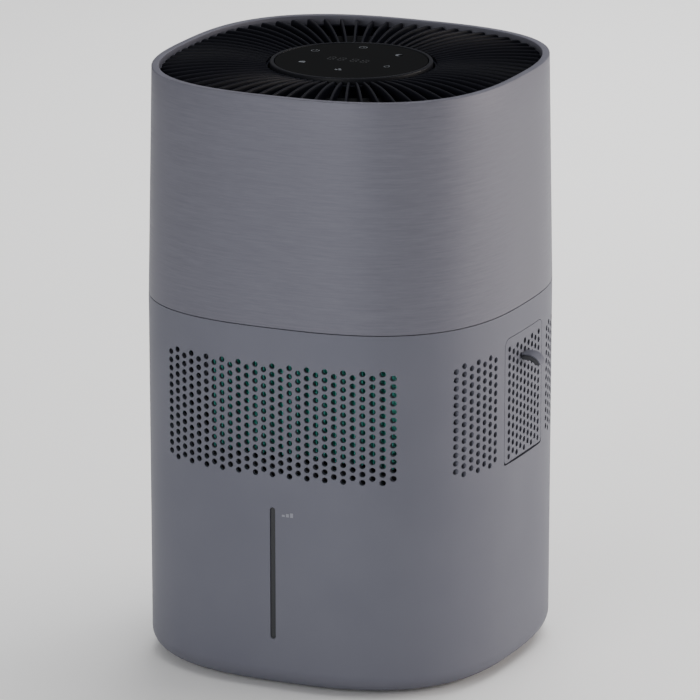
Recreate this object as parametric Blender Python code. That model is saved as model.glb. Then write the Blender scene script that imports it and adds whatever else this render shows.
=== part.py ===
"""Compact free-standing dehumidifier: a rounded-square tower with a tank below, a cooled fin
block behind the front intake, a fan under a radial outlet grille and a touch panel on top.

Frame: the front is -Y, the side with the filter door is +X, +Z is up, and z = 0 is the surface
that the feet stand on. Everything is in metres.
"""
import math

import bmesh
import bpy
import numpy as np

MM = 0.001
GAP = 0.3 * MM                 # between neighbours that touch or nearly touch

# ---- driving dimensions -------------------------------------------------------------------
WIDTH = 220 * MM               # across the casing at the seam, both ways
CASE_HEIGHT = 350 * MM
FOOT_REVEAL = 1.5 * MM         # the feet lift the casing by this much
SEAM_Z = 217.2 * MM            # between the lower and the upper shell
SEAM_GAP = 0.5 * MM
SQUARENESS = 2.74              # exponent of the superellipse that the casing follows
TOP_HALF = 107.6 * MM          # half width at the rim; the walls draft in above the seam
BASE_HALF = 109.4 * MM         # half width where the bottom round would end
WALL = 2.5 * MM
RIM_WALL = 4.1 * MM
OUTLINE_POINTS = 56

TANK_HALF_WIDTH = 82 * MM
TANK_BOTTOM, TANK_TOP = 18.8 * MM, 112 * MM
TANK_BACK = 88 * MM

DOOR_HALF, DOOR_BOTTOM, DOOR_TOP = 27 * MM, 126.8 * MM, 201.3 * MM
DOOR_CORNER, DOOR_LOW_CORNER = 5 * MM, 3 * MM
OPENING_LOW_CORNER = 1.6 * MM
HINGE_X, HINGE_Z = 107.4 * MM, 128.8 * MM

SLOT_HALF, SLOT_BOTTOM, SLOT_TOP = 1.7 * MM, 31.5 * MM, 110.7 * MM

FAN_RADIUS, DUCT_BORE = 67 * MM, 70 * MM
PANEL_RADIUS, GLASS_RADIUS = 47.2 * MM, 44.6 * MM
VANES = 72

BASE_Z = FOOT_REVEAL
RIM_Z = FOOT_REVEAL + CASE_HEIGHT
SEAM_HALF = WIDTH / 2


# ---- materials ----------------------------------------------------------------------------
def finish(name, rgb, roughness, metallic=0.0):
    """A Principled material, made once for each name."""
    found = bpy.data.materials.get(name)
    if found:
        return found
    made = bpy.data.materials.new(name)
    made.use_nodes = True
    shader = made.node_tree.nodes["Principled BSDF"]
    shader.inputs["Base Color"].default_value = (*rgb, 1.0)
    shader.inputs["Roughness"].default_value = roughness
    shader.inputs["Metallic"].default_value = metallic
    return made


def case_paint():
    return finish("grey_case", (0.16, 0.165, 0.19), 0.5)


def black_plastic():
    return finish("black_plastic", (0.012, 0.012, 0.018), 0.45)


def dark_plastic():
    return finish("dark_plastic", (0.04, 0.04, 0.05), 0.5)


def steel():
    return finish("steel", (0.6, 0.6, 0.62), 0.3, 1.0)


def rubber():
    return finish("rubber", (0.02, 0.02, 0.02), 0.85)


def aluminium():
    return finish("aluminium", (0.75, 0.76, 0.78), 0.35, 1.0)


def clear_plastic():
    return finish("clear_plastic", (0.5, 0.55, 0.6), 0.15)


# ---- shape tools --------------------------------------------------------------------------
def link_mesh(name, verts, faces, material, origin=(0, 0, 0)):
    """An object of these world-space corners, with its own origin at the given point."""
    mesh = bpy.data.meshes.new(name)
    shifted = np.asarray(verts, dtype=float) - np.asarray(origin, dtype=float)
    mesh.from_pydata(shifted.tolist(), [], [list(face) for face in faces])
    work = bmesh.new()
    work.from_mesh(mesh)
    bmesh.ops.recalc_face_normals(work, faces=work.faces)
    work.to_mesh(mesh)
    work.free()
    mesh.shade_smooth()
    mesh.set_sharp_from_angle(angle=math.radians(32))
    mesh.materials.append(material)
    thing = bpy.data.objects.new(name, mesh)
    thing.location = origin
    bpy.context.scene.collection.objects.link(thing)
    return thing


def loft(name, rings, material, closed=False, origin=(0, 0, 0)):
    """A skin through rings of equal point counts: capped at its ends, or closed into a loop."""
    rings = np.asarray(rings)
    count, points = rings.shape[:2]
    verts = rings.reshape(-1, 3)
    faces = []
    for i in range(count if closed else count - 1):
        for j in range(points):
            k, below = (j + 1) % points, ((i + 1) % count) * points
            faces.append((i * points + j, i * points + k, below + k, below + j))
    if not closed:
        faces.append(range(points))
        faces.append(range((count - 1) * points, count * points))
    return link_mesh(name, verts, faces, material, origin)


def extrude(name, outline, low, high, material, axis="z", origin=(0, 0, 0)):
    """A prism: the 2-D outline lies across the axis (x: y,z  y: x,z  z: x,y)."""
    outline = np.asarray(outline, dtype=float)
    order = {"x": (2, 0, 1), "y": (0, 2, 1), "z": (0, 1, 2)}[axis]
    rings = []
    for level in (low, high):
        columns = (outline[:, 0], outline[:, 1], np.full(len(outline), level))
        rings.append(np.stack([columns[i] for i in order], axis=1))
    return loft(name, rings, material, origin=origin)


def box(name, low, high, material, origin=(0, 0, 0)):
    outline = [(low[0], low[1]), (high[0], low[1]), (high[0], high[1]), (low[0], high[1])]
    return extrude(name, outline, low[2], high[2], material, origin=origin)


def circle(radius, points=32, centre=(0, 0)):
    turn = np.linspace(0, 2 * math.pi, points, endpoint=False)
    return np.stack([centre[0] + radius * np.cos(turn), centre[1] + radius * np.sin(turn)], axis=1)


def rounded_rect(u0, u1, v0, v1, radius, steps=4):
    """A rectangle with round corners, counter-clockwise."""
    points = []
    corners = ((u1 - radius, v1 - radius), (u0 + radius, v1 - radius),
               (u0 + radius, v0 + radius), (u1 - radius, v0 + radius))
    for quarter, (u, v) in enumerate(corners):
        for step in range(steps + 1):
            angle = math.pi / 2 * (quarter + step / steps)
            points.append((u + radius * math.cos(angle), v + radius * math.sin(angle)))
    return points


def turned(name, profile, material, points=32, centre=(0, 0), origin=(0, 0, 0)):
    """A closed (radius, z) profile turned about a vertical axis; radius 0 ends are not used."""
    rings = [np.column_stack([circle(r, points, centre), np.full(points, z)]) for r, z in profile]
    return loft(name, rings, material, closed=True, origin=origin)


def rod(name, radius, low, high, material, axis="z", centre=(0, 0), points=16, origin=(0, 0, 0)):
    return extrude(name, circle(radius, points, centre), low, high, material, axis, origin)


def superellipse(points=OUTLINE_POINTS):
    """The casing's plan at half width 1, with its points evenly spaced."""
    turn = np.linspace(0, 2 * math.pi, 4001)
    c, s = np.cos(turn), np.sin(turn)
    power = 2 / SQUARENESS
    path = np.stack([np.sign(c) * np.abs(c) ** power, np.sign(s) * np.abs(s) ** power], axis=1)
    run = np.r_[0, np.cumsum(np.linalg.norm(np.diff(path, axis=0), axis=1))]
    at = np.linspace(0, run[-1], points, endpoint=False)
    return np.stack([np.interp(at, run, path[:, 0]), np.interp(at, run, path[:, 1])], axis=1)


def half_width(z):
    """Half width of the casing's outer face at a height."""
    if z > SEAM_Z:
        return SEAM_HALF + (TOP_HALF - SEAM_HALF) * (z - SEAM_Z) / (RIM_Z - SEAM_Z)
    return SEAM_HALF + (BASE_HALF - SEAM_HALF) * (SEAM_Z - z) / (SEAM_Z - BASE_Z)


def case_plan(inset, z):
    return superellipse() * (half_width(z) - inset)


def swept(name, profile, material):
    """A closed (inset, z) profile carried round the casing's plan."""
    rings = [np.column_stack([case_plan(inset, z), np.full(OUTLINE_POINTS, z)])
             for inset, z in profile]
    return loft(name, rings, material, closed=True)


def plate(name, inset, low, high, material):
    """A flat plate that follows the casing's plan."""
    return extrude(name, case_plan(inset, low), low, high, material)


def combine(thing, operation, *tools):
    """Cut, join or intersect with other shapes, which are then only guides."""
    for tool in tools:
        step = thing.modifiers.new(f"{operation.lower()}_{tool.name}", "BOOLEAN")
        step.operation = operation
        step.solver = "EXACT"
        step.object = tool
        tool.hide_render = True
        tool.display_type = "WIRE"
    return thing


def screw(name, place, seat, tip, axis="z", head=3.0 * MM, shank=1.5 * MM, head_height=0.9 * MM):
    """A pan-head screw along an axis: its head lies on the seat, away from the shank's tip."""
    back = seat - math.copysign(head_height, tip - seat)
    order = {"x": (2, 0, 1), "y": (0, 2, 1), "z": (0, 1, 2)}[axis]
    rings = []
    for radius, level in ((head, back), (head, seat), (shank, seat), (shank, tip)):
        ring = circle(radius, 12, place)
        columns = (ring[:, 0], ring[:, 1], np.full(len(ring), level))
        rings.append(np.stack([columns[i] for i in order], axis=1))
    return loft(name, rings, steel())


def axis_empty(name, place):
    """An empty that marks a joint's axis."""
    empty = bpy.data.objects.new(name, None)
    empty.location = place
    bpy.context.scene.collection.objects.link(empty)
    return empty


def hang(empty, *things):
    """Parent things to an empty without moving them."""
    for thing in things:
        thing.parent = empty
        thing.location = thing.location - empty.location


# ---- casing -------------------------------------------------------------------------------
FLANGE_INSET = 24 * MM         # inner edge of the bottom flange
ROUND_OUT, ROUND_UP = 15 * MM, 12.8 * MM
FLANGE = 2.5 * MM


def bottom_round(inset, reach, rise, floor, steps):
    """Quarter ellipse from the wall down to the floor, as (inset, z)."""
    turn = np.linspace(math.pi / 2, 0, steps)
    return [(inset + reach * (1 - math.sin(t)), floor + rise * (1 - math.cos(t))) for t in turn]


def door_outline(grow, drop=0.0, low_corner=DOOR_LOW_CORNER):
    """Door or opening outline: its lower corners are tighter than the upper ones."""
    wide, low, high = DOOR_HALF + grow, DOOR_BOTTOM - grow - drop, DOOR_TOP + grow
    upper = rounded_rect(-wide, wide, low, high, DOOR_CORNER + grow)
    lower = rounded_rect(-wide, wide, low, high, low_corner)
    half = len(upper) // 2
    return upper[:half] + lower[half:]


def make_lower_shell():
    tongue_in, tongue_out, tongue_top = 4.8 * MM, 2.8 * MM, 222.7 * MM
    ledge_low, ledge_high, ledge_in = 112.6 * MM, 115.3 * MM, 5.0 * MM
    rise = ROUND_UP - FLANGE
    outer = [(0, SEAM_Z - SEAM_GAP / 2)] + bottom_round(0, ROUND_OUT, ROUND_UP, BASE_Z, 5)
    inner = bottom_round(WALL, ROUND_OUT - WALL, rise, BASE_Z + FLANGE, 4)[::-1]
    profile = outer + [(FLANGE_INSET, BASE_Z), (FLANGE_INSET, BASE_Z + FLANGE)] + inner
    profile += [(WALL, ledge_low), (ledge_in, ledge_high - 1.2 * MM), (ledge_in, ledge_high),
                (WALL, ledge_high), (WALL, 204 * MM), (tongue_in, 208 * MM),
                (tongue_in, tongue_top), (tongue_out, tongue_top),
                (tongue_out, SEAM_Z - SEAM_GAP / 2)]
    shell = swept("lower_shell", profile, case_paint())

    reach = 4 * MM
    boss = []
    for side in (-1, 1):
        y = sorted((side * (DOOR_HALF + 0.1 * MM), side * (DOOR_HALF + 5 * MM)))
        part = box(f"hinge_boss_{'front' if side < 0 else 'rear'}",
                   (104.4 * MM, y[0], 125 * MM), (108.2 * MM, y[1], 133 * MM), case_paint())
        boss.append(part)
    combine(shell, "UNION", *boss)
    door_cut = extrude("door_opening", door_outline(0.35 * MM, 0.45 * MM, OPENING_LOW_CORNER),
                       100 * MM, 116 * MM, case_paint(), "x")
    tank_cut = box("tank_opening", (-84 * MM, 60 * MM, 18.5 * MM), (84 * MM, 130 * MM, 116.5 * MM),
                   case_paint())
    slot = rounded_rect(-SLOT_HALF, SLOT_HALF, SLOT_BOTTOM, SLOT_TOP, SLOT_HALF - 1e-5)
    slot_cut = extrude("slot_opening", slot, -114 * MM, -100 * MM, case_paint(), "y")
    inlet_cut = box("inlet_opening", (-11 * MM, 100 * MM, 127 * MM), (11 * MM, 116 * MM, 145 * MM),
                    case_paint())
    pin_cut = rod("hinge_pin_holes", 0.9 * MM, -DOOR_HALF - reach, DOOR_HALF + reach, steel(),
                  "y", (HINGE_X, HINGE_Z), 12)
    screw_cuts = [rod(f"screw_hole_{i}", 1.9 * MM, 0, 6 * MM, steel(), centre=place, points=10)
                  for i, place in enumerate(base_screw_places())]
    return combine(shell, "DIFFERENCE", door_cut, tank_cut, slot_cut, inlet_cut, pin_cut,
                   *screw_cuts)


def make_upper_shell():
    low = SEAM_Z + SEAM_GAP / 2
    ledge = 337.6 * MM
    profile = [(0.5 * MM, RIM_Z), (0, RIM_Z - 0.5 * MM), (0, low), (WALL, low), (WALL, 330 * MM),
               (7.5 * MM, 335 * MM), (7.5 * MM, ledge), (RIM_WALL, ledge),
               (RIM_WALL, RIM_Z - 0.5 * MM), (RIM_WALL - 0.5 * MM, RIM_Z)]
    return swept("upper_shell", profile, finish("brushed_case", (0.17, 0.175, 0.2), 0.42, 0.6))


def base_screw_places():
    spread = 62 * MM
    return [(x, y) for x in (-spread, spread) for y in (-spread, spread)]


def foot_places():
    spread = 50 * MM
    return [(x, y) for x in (-spread, spread) for y in (-spread, spread)]


def make_base():
    """Floor plate on the shell's bottom flange, with two runners for the tank and a centre pad."""
    low = BASE_Z + FLANGE + GAP
    plate_inset = 17 * MM
    base = plate("base_plate", plate_inset, low, low + 3 * MM, dark_plastic())
    runners = []
    for side in (-1, 1):
        x = sorted((side * 44 * MM, side * 50 * MM))
        runners.append(box(f"tank_runner_{'left' if side < 0 else 'right'}",
                           (x[0], -66 * MM, low + MM), (x[1], 66 * MM, TANK_BOTTOM - GAP),
                           dark_plastic()))
    pad = rod("centre_pad", 14 * MM, 0, low + MM, dark_plastic(), points=24)
    combine(base, "UNION", *runners, pad)
    holes = [rod(f"plate_hole_{i}", 1.9 * MM, low - 2 * MM, low + 2.6 * MM, steel(), centre=place,
                 points=10) for i, place in enumerate(base_screw_places())]
    combine(base, "DIFFERENCE", *holes)
    for number, place in enumerate(foot_places(), 1):
        rings = [np.column_stack([circle(radius, 16, place), np.full(16, z)])
                 for radius, z in ((7.6 * MM, 0), (8 * MM, 0.4 * MM), (8 * MM, low - GAP))]
        loft(f"foot_{number}", rings, rubber())
    for number, place in enumerate(base_screw_places(), 1):
        screw(f"base_screw_{number}", place, BASE_Z - GAP, low + 2.2 * MM)


def make_level_lens():
    """Clear strip in the front slot, with a flange behind the wall."""
    half, recess = SLOT_HALF - GAP, 0.6 * MM
    face = half_width(70 * MM)
    strip = rounded_rect(-half, half, SLOT_BOTTOM + GAP, SLOT_TOP - GAP, half - 1e-5)
    flange_edge = 3 * MM
    flange = rounded_rect(-half - flange_edge, half + flange_edge, SLOT_BOTTOM - 2 * MM,
                          SLOT_TOP + 1 * MM, flange_edge)
    lens = extrude("level_lens", strip, -face + recess, -face + WALL + MM, clear_plastic(), "y")
    back = extrude("lens_flange", flange, -face + WALL + 0.7 * MM, -face + WALL + 1.7 * MM,
                   clear_plastic(), "y")
    return combine(lens, "UNION", back)


# ---- filter door --------------------------------------------------------------------------
def case_slice(name, low, high, material):
    """A solid band of the casing wall between two heights."""
    profile = [(0, low), (0, high), (WALL, high), (WALL, low)]
    return swept(name, profile[::-1], material)


def make_door():
    """Door skin hinged at its lower edge, its pins, its finger pull and its dust filter."""
    hinge = axis_empty("door_axis", (HINGE_X, 0, HINGE_Z))
    door = case_slice("side_door", 120 * MM, 208 * MM, case_paint())
    window = extrude("door_shape", door_outline(0), 95 * MM, 118 * MM, case_paint(), "x")
    combine(door, "INTERSECT", window)
    edge = DOOR_HALF - 0.2 * MM
    knuckles = []
    for side in (-1, 1):
        y = sorted((side * (edge - 10 * MM), side * (edge - 4 * MM)))
        knuckles.append(box(f"knuckle_{'front' if side < 0 else 'rear'}",
                            (104.8 * MM, y[0], DOOR_BOTTOM + 0.2 * MM),
                            (107.8 * MM, y[1], HINGE_Z + 2 * MM), case_paint()))
    clips = [box(f"filter_clip_{i}", (103.9 * MM, y - 3 * MM, z - 2 * MM),
                 (108 * MM, y + 3 * MM, z + 2 * MM), case_paint())
             for i, (y, z) in enumerate([(-20 * MM, 140 * MM), (20 * MM, 140 * MM),
                                         (-20 * MM, 191 * MM), (20 * MM, 191 * MM)])]
    combine(door, "UNION", *knuckles, *clips)
    bore = rod("knuckle_bore", 0.9 * MM, -DOOR_HALF - MM, DOOR_HALF + MM, steel(), "y",
               (HINGE_X, HINGE_Z), 12)
    run = 2 * MM
    edge_x, edge_z = HINGE_X + 2 * MM, DOOR_BOTTOM + 0.5 * MM
    low_edge = [(edge_x - run, edge_z - run), (edge_x + run, edge_z - run),
                (edge_x + run, edge_z + run)]
    chamfer = extrude("lower_edge_chamfer", low_edge, -DOOR_HALF - MM, DOOR_HALF + MM,
                      case_paint(), "y")
    combine(door, "DIFFERENCE", bore, chamfer)
    for side, label in ((-1, "front"), (1, "rear")):
        ends = sorted((side * (edge - 9 * MM), side * (edge + 3.6 * MM)))
        rod(f"hinge_pin_{label}", 0.6 * MM, ends[0], ends[1], steel(), "y",
            (HINGE_X, HINGE_Z), 12)

    pull = make_pull()
    frame = extrude("filter_frame", rounded_rect(-24 * MM, 24 * MM, 134 * MM, 197 * MM, 3 * MM, 3),
                    98 * MM, 103.6 * MM, dark_plastic(), "x")
    hollow = extrude("filter_window", rounded_rect(-21 * MM, 21 * MM, 137 * MM, 194 * MM, 1.5 * MM,
                                                   2), 97 * MM, 105 * MM, dark_plastic(), "x")
    combine(frame, "DIFFERENCE", hollow)
    mesh_pad = extrude("filter_mesh", rounded_rect(-20.7 * MM, 20.7 * MM, 137.3 * MM, 193.7 * MM,
                                                   1.2 * MM, 2), 99.5 * MM, 101.5 * MM,
                       finish("filter_mesh", (0.03, 0.03, 0.03), 0.9), "x")
    hang(hinge, door, pull, frame, mesh_pad)


def make_pull():
    """A hooked finger pull: its plate lies on the door and its arm curves out and down."""
    half, root_z, thick, reach, bend = 5 * MM, 188 * MM, 3.2 * MM, 11 * MM, 7.5 * MM
    start = half_width(root_z) + GAP
    turn = np.linspace(0, math.radians(75), 7)
    middle = start + reach - bend * math.sin(turn[-1])
    arc = [(middle + bend * math.sin(t), root_z - bend * (1 - math.cos(t))) for t in turn]
    inner = bend - thick
    back = [(middle + inner * math.sin(t), root_z - bend + inner * math.cos(t))
            for t in turn[::-1]]
    plate_low, plate_face = root_z - thick - 3 * MM, start + 1.5 * MM
    root = [(start, plate_low), (start, root_z)]
    foot = [(plate_face, root_z - thick), (plate_face, plate_low)]
    return extrude("door_pull", root + arc + back + foot, -half, half, dark_plastic(), "y")


# ---- water tank ---------------------------------------------------------------------------
def tank_outline(inset):
    """Plan of the tank: the casing's plan, cut straight at the sides and at the back."""
    plan = case_plan(5.5 * MM + inset, 60 * MM)
    side, back = TANK_HALF_WIDTH - inset, TANK_BACK - inset
    plan[:, 0] = np.clip(plan[:, 0], -side, side)
    plan[:, 1] = np.minimum(plan[:, 1], back)
    keep = [plan[0]]
    for point in plan[1:]:
        if np.linalg.norm(point - keep[-1]) > 0.5 * MM:
            keep.append(point)
    return np.array(keep)


def make_tank():
    """Tank, its lid with the float, and the outer panel that carries the finger grip."""
    slide = axis_empty("tank_axis", (0, 0, TANK_BOTTOM))
    wall = 2.2 * MM
    tank = extrude("tank", tank_outline(0), TANK_BOTTOM, TANK_TOP, clear_plastic())
    hollow = extrude("tank_hollow", tank_outline(wall), TANK_BOTTOM + wall, TANK_TOP + 5 * MM,
                     clear_plastic())
    combine(tank, "DIFFERENCE", hollow)

    lid_low, lid_high = TANK_TOP + GAP, TANK_TOP + 2.6 * MM
    lid = extrude("tank_lid", tank_outline(0.2 * MM), lid_low, lid_high, dark_plastic())
    pivot_x, pivot_y, pivot_z = -50 * MM, 41 * MM, 98 * MM
    lugs = [box(f"float_lug_{i}", (x - MM, pivot_y - 4 * MM, pivot_z - 4 * MM),
                (x + MM, pivot_y + 4 * MM, lid_low + MM), dark_plastic())
            for i, x in enumerate((pivot_x - 10 * MM, pivot_x + 10 * MM))]
    combine(lid, "UNION", *lugs)
    pin_hole = rod("float_pin_hole", 1.8 * MM, pivot_x - 14 * MM, pivot_x + 14 * MM, steel(), "x",
                   (pivot_y, pivot_z), 12)
    drip_hole = rod("drip_hole", 11 * MM, lid_low - MM, lid_high + MM, dark_plastic(),
                    centre=(0, -56 * MM), points=24)
    combine(lid, "DIFFERENCE", pin_hole, drip_hole)

    hinge = axis_empty("float_axis", (pivot_x, pivot_y, pivot_z))
    float_pin = rod("float_pin", 1.5 * MM, pivot_x - 12 * MM, pivot_x + 12 * MM, steel(), "x",
                    (pivot_y, pivot_z), 12)
    white = finish("float_foam", (0.8, 0.8, 0.78), 0.7)
    block = extrude("float", rounded_rect(pivot_y + 13 * MM, pivot_y + 33 * MM, 70 * MM, 86 * MM,
                                          3 * MM, 3), pivot_x - 12 * MM, pivot_x + 12 * MM, white,
                    "x")
    hub = rod("float_hub", 4 * MM, pivot_x - 7 * MM, pivot_x + 7 * MM, white, "x",
              (pivot_y, pivot_z), 16)
    arm = extrude("float_arm", [(pivot_y + MM, pivot_z + 2 * MM), (pivot_y - 2 * MM, pivot_z - MM),
                                (pivot_y + 15 * MM, 80 * MM), (pivot_y + 19 * MM, 84 * MM)],
                  pivot_x - 3 * MM, pivot_x + 3 * MM, white, "x")
    combine(block, "UNION", hub, arm)
    bore = rod("float_bore", 1.8 * MM, pivot_x - 10 * MM, pivot_x + 10 * MM, white, "x",
               (pivot_y, pivot_z), 12)
    combine(block, "DIFFERENCE", bore)

    panel = case_slice("tank_panel", TANK_BOTTOM + 0.1 * MM, 116.1 * MM, case_paint())
    rear = box("panel_half", (-83.6 * MM, 50 * MM, 10 * MM), (83.6 * MM, 125 * MM, 125 * MM),
               case_paint())
    combine(panel, "INTERSECT", rear)
    spacers = [box(f"panel_spacer_{i}", (x - 3 * MM, TANK_BACK + GAP, 30 * MM),
                   (x + 3 * MM, reach, 84 * MM), case_paint())
               for i, (x, reach) in enumerate([(-45 * MM, 103.2 * MM), (0, 107.8 * MM),
                                               (45 * MM, 103.2 * MM)])]
    combine(panel, "UNION", *spacers)
    grip = extrude("grip_slot", rounded_rect(-32 * MM, 32 * MM, 88 * MM, 108 * MM, 8 * MM, 3),
                   95 * MM, 120 * MM, case_paint(), "y")
    combine(panel, "DIFFERENCE", grip)
    hang(slide, tank, lid, panel, float_pin)
    hang(hinge, block)
    hinge.parent = slide
    hinge.location = hinge.location - slide.location


# ---- cooling block ------------------------------------------------------------------------
SINK_LOW, SINK_HIGH = 129 * MM, 201 * MM
SINK_HALF, FOOT_HALF = 58 * MM, 66 * MM
COLD_FRONT, COLD_BACK = -70 * MM, -36 * MM
HOT_FRONT, HOT_BACK = -31.4 * MM, 30 * MM


def finned(name, fin_tip, base_near, base_far, pitch, fin, material):
    """A base plate across Y with upright fins that stand out to fin_tip."""
    base = box(name, (-FOOT_HALF, min(base_near, base_far), SINK_LOW),
               (FOOT_HALF, max(base_near, base_far), SINK_HIGH), material)
    verts, faces = [], []
    count = int(2 * (SINK_HALF - fin) / pitch) + 1
    root = base_near + math.copysign(0.5 * MM, base_far - base_near)
    ends = sorted((fin_tip, root))
    for i in range(count):
        x = (i - (count - 1) / 2) * pitch
        start = len(verts)
        for z in (SINK_LOW + 0.5 * MM, SINK_HIGH - 0.5 * MM):
            verts += [(x - fin / 2, ends[0], z), (x + fin / 2, ends[0], z),
                      (x + fin / 2, ends[1], z), (x - fin / 2, ends[1], z)]
        faces += [tuple(start + k for k in face) for face in
                  ((3, 2, 1, 0), (4, 5, 6, 7), (0, 1, 5, 4), (1, 2, 6, 5), (2, 3, 7, 6),
                   (3, 0, 4, 7))]
    fins = link_mesh(f"{name}_fins", verts, faces, material)
    return combine(base, "UNION", fins)


def make_cooling_block():
    """Cold fins, two thermoelectric modules in their gasket, hot fins and the four clamp screws."""
    teal = finish("coated_fins", (0.03, 0.16, 0.15), 0.4, 0.3)
    cold = finned("cold_sink", COLD_FRONT, COLD_BACK - 6 * MM, COLD_BACK, 5 * MM, 1.0 * MM, teal)
    hot = finned("hot_sink", HOT_BACK, HOT_FRONT + 6 * MM, HOT_FRONT, 5 * MM, 1.2 * MM,
                 aluminium())
    low, high = COLD_BACK + GAP, HOT_FRONT - GAP
    gasket = box("module_gasket", (-FOOT_HALF, low, SINK_LOW), (FOOT_HALF, high, SINK_HIGH),
                 finish("foam", (0.05, 0.05, 0.05), 0.95))
    windows = []
    middle = (SINK_LOW + SINK_HIGH) / 2
    for side, label in ((-1, "left"), (1, "right")):
        x, half = side * 28 * MM, 20 * MM
        windows.append(box(f"module_window_{label}",
                           (x - half - GAP, low - MM, middle - half - GAP),
                           (x + half + GAP, high + MM, middle + half + GAP), rubber()))
        box(f"cooling_module_{label}", (x - half, low + 0.1 * MM, middle - half),
            (x + half, high - 0.1 * MM, middle + half), finish("ceramic", (0.8, 0.8, 0.8), 0.6))
    combine(gasket, "DIFFERENCE", *windows)
    places = [(x, z) for x in (-62 * MM, 62 * MM) for z in (140 * MM, 190 * MM)]
    holes = [rod(f"clamp_hole_{i}", 1.9 * MM, COLD_BACK - 8 * MM, HOT_FRONT + 4.5 * MM, steel(), "y",
                 place, 10) for i, place in enumerate(places)]
    for target in (cold, gasket, hot):
        combine(target, "DIFFERENCE", *holes)
    for number, place in enumerate(places, 1):
        screw(f"clamp_screw_{number}", place, COLD_BACK - 6 * MM - GAP, HOT_FRONT + 4 * MM, "y")


def make_deck():
    """Deck above the tank, the drip tray on it and the humidity sensor's board."""
    low, high = 115.6 * MM, 118 * MM
    deck = plate("deck", 3 * MM, low, high, dark_plastic())
    spout = rod("spout_hole", 6.3 * MM, low - MM, high + MM, dark_plastic(),
                centre=(0, -56 * MM), points=24)
    combine(deck, "DIFFERENCE", spout)

    tray = box("drip_tray", (-70 * MM, -78 * MM, high + GAP), (70 * MM, -32 * MM, 128.6 * MM),
               dark_plastic())
    wall = 2 * MM
    basin = loft("tray_basin", [
        [(-8 * MM, -62 * MM, 120.6 * MM), (8 * MM, -62 * MM, 120.6 * MM),
         (8 * MM, -50 * MM, 120.6 * MM), (-8 * MM, -50 * MM, 120.6 * MM)],
        [(-70 * MM + wall, -78 * MM + wall, 126 * MM), (70 * MM - wall, -78 * MM + wall, 126 * MM),
         (70 * MM - wall, -32 * MM - wall, 126 * MM),
         (-70 * MM + wall, -32 * MM - wall, 126 * MM)],
        [(-70 * MM + wall, -78 * MM + wall, 130 * MM), (70 * MM - wall, -78 * MM + wall, 130 * MM),
         (70 * MM - wall, -32 * MM - wall, 130 * MM),
         (-70 * MM + wall, -32 * MM - wall, 130 * MM)]], dark_plastic())
    nozzle = rod("tray_nozzle", 6 * MM, low - GAP, high + MM, dark_plastic(),
                 centre=(0, -56 * MM), points=24)
    drain = rod("tray_drain", 3.5 * MM, low - 2 * MM, high + 4 * MM, dark_plastic(),
                centre=(0, -56 * MM), points=16)
    combine(tray, "UNION", nozzle)
    combine(tray, "DIFFERENCE", basin, drain)

    green = finish("circuit_board", (0.02, 0.12, 0.05), 0.4)
    sensor = box("humidity_sensor", (84 * MM, -62 * MM, high + GAP), (85.6 * MM, -46 * MM, 152 * MM),
                 green)
    can = box("sensor_can", (85 * MM, -59 * MM, 138 * MM), (89 * MM, -49 * MM, 149 * MM), green)
    combine(sensor, "UNION", can)

    board = box("power_board", (-50 * MM, 82 * MM, 150 * MM), (50 * MM, 83.6 * MM, 206 * MM), green)
    parts = [box("transformer", (-38 * MM, 60 * MM, 158 * MM), (-10 * MM, 82.5 * MM, 182 * MM),
                 black_plastic()),
             rod("capacitor", 8 * MM, 58 * MM, 82.5 * MM, black_plastic(), "y",
                 (10 * MM, 170 * MM), 20),
             box("heat_tab", (24 * MM, 66 * MM, 156 * MM), (42 * MM, 82.5 * MM, 194 * MM),
                 aluminium())]
    combine(board, "UNION", *parts)

    inlet = box("power_inlet", (-10.7 * MM, 88 * MM, 127.3 * MM), (10.7 * MM, 108.4 * MM, 144.7 * MM),
                black_plastic())
    socket = extrude("inlet_socket", rounded_rect(-7.5 * MM, 7.5 * MM, 131.5 * MM, 140.5 * MM,
                                                  3.5 * MM, 3), 94 * MM, 115 * MM,
                     black_plastic(), "y")
    combine(inlet, "DIFFERENCE", socket)


# ---- fan ----------------------------------------------------------------------------------
FLANGE_LOW = 223 * MM
LIP_TOP = 344.7 * MM


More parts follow.
